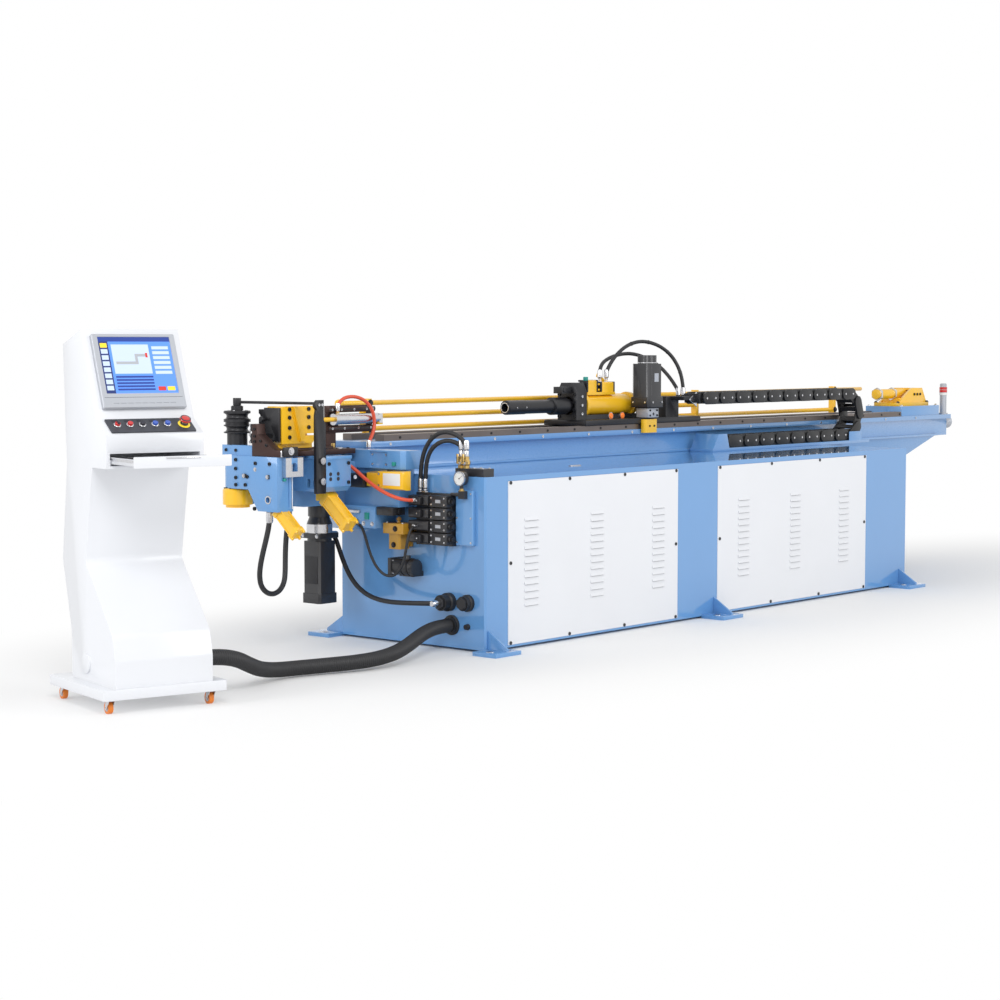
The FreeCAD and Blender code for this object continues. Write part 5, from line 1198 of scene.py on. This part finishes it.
class BENDER_OT_rear(bpy.types.Operator):
    """Support bar nuts, mandrel fittings, signal lenses and chain pins"""

    bl_idname = "bender.rear"
    bl_label = "Rear and chain details"

    def execute(self, context):
        spread("mandrel_bolts", "machine", "mandrel_unit", "black", hex_pattern(0.010, 0.010),
               [(x, y, 1104) for x in (5358, 5756) for y in (856, 1034)], UP)
        spread("mandrel_side_bolts", "machine", "mandrel_unit", "black", screw_pattern(0.009, 0.006),
               [(x, 862, 1160) for x in (5590, 5630, 5670)], FRONT)
        spread("barrel_nut", "machine", "mandrel_unit", "bright", ring_pattern(0.0342, 0.046, 0.018, 6),
               [(5230, 940, 1165), (5420, 940, 1165)], LEFT)
        for name, z, finish in (("low", 1150, "plate"), ("middle", 1170, "red"), ("high", 1190, "red")):
            spread("signal_lens_" + name, "machine", "signal_tower", finish,
                   ring_pattern(0.0265, 0.0278, 0.017, 36), [(5945, 830, z - 1.5)], UP)
        spread("bar_nuts", "machine", "support_bars", "black", hex_pattern(0.013, 0.012),
               [(x, 1110, z) for x in (342, 4942) for z in (1199, 1062)], FRONT)
        pins = []
        x = 4400.0 - 19 * 87.0
        for i in range(20):
            pins.append((x + i * 87.0, 632.0 + (0 if i % 2 else 1.5), 1187.0))
        spread("chain_pins", "machine", "energy_chain", "bright",
               turned("pin", [(0, 0.007), (0.002, 0.0065)], 18),
               pins, FRONT)
        lower = []
        for i in range(16):
            lower.append((4400.0 - i * 87.0, 632.0 + (0 if i % 2 else 1.5), self.chain_low()))
        spread("chain_pins_low", "machine", "energy_chain", "bright",
               turned("pin", [(0, 0.007), (0.002, 0.0065)], 18),
               lower, FRONT)
        return {"FINISHED"}

    def chain_low(self):
        """Height of the chain's lower run."""
        turn = math.pi / 5
        return 1187.0 - sum(87.0 * math.sin(i * turn) for i in range(1, 5))


class BENDER_OT_console(bpy.types.Operator):
    """Screen, buttons, keys and casters of the operator console"""

    bl_idname = "bender.console"
    bl_label = "Console details"

    def leaning(self, low, high, origin, lean, edge=0.0):
        """A block drawn on a leaning face, whose x runs along it and z up it."""
        piece = block("leaning", Vector(low) / 1000, Vector(high) / 1000, edge)
        turn = Matrix.Translation(Vector(origin) / 1000) @ Matrix.Rotation(-lean, 4, "X")
        piece.data.transform(CONSOLE @ turn)
        return piece

    def knob(self, profile, x, z, origin, lean, sides=32, edge=0.0006):
        """A turned knob that stands out of a leaning face."""
        piece = turned("knob", [(h / 1000, r / 1000) for h, r in profile], sides, edge)
        piece.data.transform(Matrix.Rotation(math.radians(90), 4, "X"))
        turn = Matrix.Translation(Vector(origin) / 1000) @ Matrix.Rotation(-lean, 4, "X")
        piece.data.transform(CONSOLE @ turn @ Matrix.Translation((x / 1000, 0, z / 1000)))
        return piece

    def execute(self, context):
        look = finishes()
        up = Vector((0, math.sin(SCREEN_LEAN), math.cos(SCREEN_LEAN)))
        middle = Vector((277, 170, 1200)) + up * 205

        def sheet(name, finish, spans, depth=0.5, base=-17.0):
            pieces = [self.leaning((x0, base - depth, z0), (x1, base, z1), middle, SCREEN_LEAN) for x0, z0,
                      x1, z1 in spans]
            return settle(merged(pieces), name, "machine", look[finish])

        sheet("screen_glass", "screen", [(-162, -99, 162, 151)], 0.4)
        sheet("screen_header", "screen_head", [(-162, 131, 162, 151)], 0.7)
        sheet("screen_column", "screen_side", [(-162, -99, -120, 131)], 0.7)
        keys = [(-156, 104 - i * 27, -126, 124 - i * 27) for i in range(8)]
        sheet("screen_first_key", "screen_key", keys[:1], 0.9)
        sheet("screen_keys", "screen_light", keys[1:], 0.9)
        sheet("screen_panel", "screen_light", [(-108, -12, 60, 118)], 0.6)
        tube = [(-96, 30, -8, 42), (-8, 30, 4, 76), (4, 64, 40, 76)]
        sheet("screen_tube", "bezel", tube, 0.9)
        sheet("screen_tube_end", "screen_red", [(40, 60, 50, 80)], 1.0)
        rows = [(-108, -30 - i * 14, 60, -22 - i * 14) for i in range(5)]
        sheet("screen_rows", "screen_head", rows, 0.8)
        sheet("screen_values", "screen_light", [(74, 96 - i * 22, 150, 110 - i * 22) for i in range(6)],
              0.8)
        sheet("screen_button", "screen_red", [(74, -88, 108, -70)], 0.8)
        sheet("screen_button_2", "screen_key", [(116, -88, 150, -70)], 0.8)
        sheet("bezel_line", "ink", [(-176, -118, 176, -116.6)], 0.3, -19.8)
        plate = Vector((277, 125, 1170))
        rims, caps = [], {"red": [], "ink": [], "button_blue": []}
        colours = ("red", "red", "ink", "button_blue", "button_blue")
        for i, colour in enumerate(colours):
            x = -150 + i * 56
            rims.append(self.knob([(6, 16.2), (10.5, 16.2), (12.5, 14.5)], x, 0, plate, PLATE_LEAN))
            caps[colour].append(self.knob([(12, 11.5), (20.6, 11.5), (21.6, 10)], x, 0, plate, PLATE_LEAN))
        caps["red"].append(self.knob([(26, 22.6), (31, 24.5), (37, 21), (39, 14), (39.6, 6)], 150, 0, plate,
                                     PLATE_LEAN, 40))
        rims.append(self.knob([(13.5, 13), (25.5, 13)], 150, 0, plate, PLATE_LEAN))
        settle(merged(rims), "button_rims", "machine", look["bright"])
        for colour, pieces in caps.items():
            settle(merged(pieces), "button_caps_" + colour, "machine", look[colour])
        collar_piece = self.knob([(6, 26), (8, 26), (9, 24)], 150, 0, plate, PLATE_LEAN, 40)
        settle(collar_piece, "stop_collar", "machine", look["screen_key"])
        selector = self.leaning((-153, -25, -10), (-147, -20, 10), plate, PLATE_LEAN, 0.001)
        settle(selector, "selector_bar", "machine", look["red"])
        labels = [self.leaning((x - 14, -6.8, 24), (x + 14, -6, 36), plate, PLATE_LEAN) for x in (-150, -94,
                                                                                                  -38, 18, 74)]
        settle(merged(labels), "label_holders", "machine", look["ink"])
        self.keyboard(look, context.scene.bender_sizes.keys)
        self.casters(look)
        return {"FINISHED"}

    def keyboard(self, look, count):
        """Rows of key caps, the last row with its long bar."""
        y0 = 74.0 - 250.0 + 20.0
        pitch = 348.0 / count
        caps = []
        for row in range(5):
            y = y0 + 14 + row * 24
            z = 1045 + row * 1.2
            spans = [(i, i + 1) for i in range(count)]
            if row == 0:
                spans = [(0, 1.5), (1.5, 3), (3, 4.2), (4.2, 9.8), (9.8, 11), (11, 12.2), (12.2, 13.6),
                         (13.6, count)]
            for a, b in spans:
                low = Vector((103 + a * pitch + 1.3, y + 0.8, z - 1)) / 1000
                high = Vector((103 + b * pitch - 1.3, y + 17.2, z + 3.2)) / 1000
                caps.append(block("key", low, high, 0.0012))
        piece = merged(caps)
        piece.data.transform(CONSOLE)
        settle(piece, "key_caps", "drawer", look["key"])
        lamps = [block("lamp", Vector((420 + i * 12, y0 + 133, 1045)) / 1000,
                       Vector((425 + i * 12, y0 + 136, 1047)) / 1000, 0.0)
                 for i in range(3)]
        lights = merged(lamps)
        lights.data.transform(CONSOLE)
        settle(lights, "key_lights", "drawer", look["lens"])
        grip = block("grip", Vector((200, -186, 1050)) / 1000, Vector((354, -182, 1056)) / 1000, 0.0015)
        grip.data.transform(CONSOLE)
        settle(grip, "drawer_grip", "drawer", look["bright"])
        runners = merged([block("runner", Vector((x, -174, 1033)) / 1000,
                                Vector((x + 0.6, 120, 1044)) / 1000, 0.0)
                          for x in (80.5, 472.9)])
        runners.data.transform(CONSOLE)
        settle(runners, "drawer_runners", "drawer", look["bright"])

    def casters(self, look):
        """Hub discs on the wheels."""
        for corner, (x, y) in {"front_left": (50, 50), "front_right": (505, 50),
                               "back_left": (50, 516), "back_right": (505, 516)}.items():
            hubs = []
            for side in (-1, 1):
                hub = turned("hub", [(0, 0.015), (0.0008, 0.015), (0.0014, 0.009)], 28)
                place(hub, Vector((x + side * 10, y + 18, 25)) / 1000, Vector((side, 0, 0)))
                hubs.append(hub)
            piece = merged(hubs)
            piece.data.transform(CONSOLE)
            settle(piece, "hub_" + corner, "wheel_" + corner, look["bezel"])


CLASSES = [BenderColours, BenderSizes, BENDER_OT_stage, BENDER_OT_hoses, BENDER_OT_finishes,
           BENDER_OT_edges,
           BENDER_OT_cabinet, BENDER_OT_head, BENDER_OT_arm, BENDER_OT_pressure, BENDER_OT_valves,
           BENDER_OT_carriage, BENDER_OT_rear, BENDER_OT_console]
STEPS = ("stage", "hoses", "finishes", "edges", "cabinet", "head", "arm", "pressure", "valves",
         "carriage", "rear", "console")


class BENDER_PT_panel(bpy.types.Panel):
    """Lists the bender's sizes, colours and operators"""

    bl_label = "Tube Bending Machine"
    bl_idname = "BENDER_PT_panel"
    bl_space_type = "VIEW_3D"
    bl_region_type = "UI"
    bl_category = "Bender"

    def draw(self, context):
        for name in STEPS:
            self.layout.operator("bender." + name)
        for group in (context.scene.bender_sizes, context.scene.bender_colours):
            for name in group.__annotations__:
                self.layout.prop(group, name)


def register():
    for item in CLASSES + [BENDER_PT_panel]:
        bpy.utils.register_class(item)
    bpy.types.Scene.bender_colours = PointerProperty(type=BenderColours)
    bpy.types.Scene.bender_sizes = PointerProperty(type=BenderSizes)


def unregister():
    del bpy.types.Scene.bender_sizes
    del bpy.types.Scene.bender_colours
    for item in reversed(CLASSES + [BENDER_PT_panel]):
        bpy.utils.unregister_class(item)


def main():
    register()
    for name in STEPS:
        getattr(bpy.ops.bender, name)()


if __name__ == "__main__":
    main()
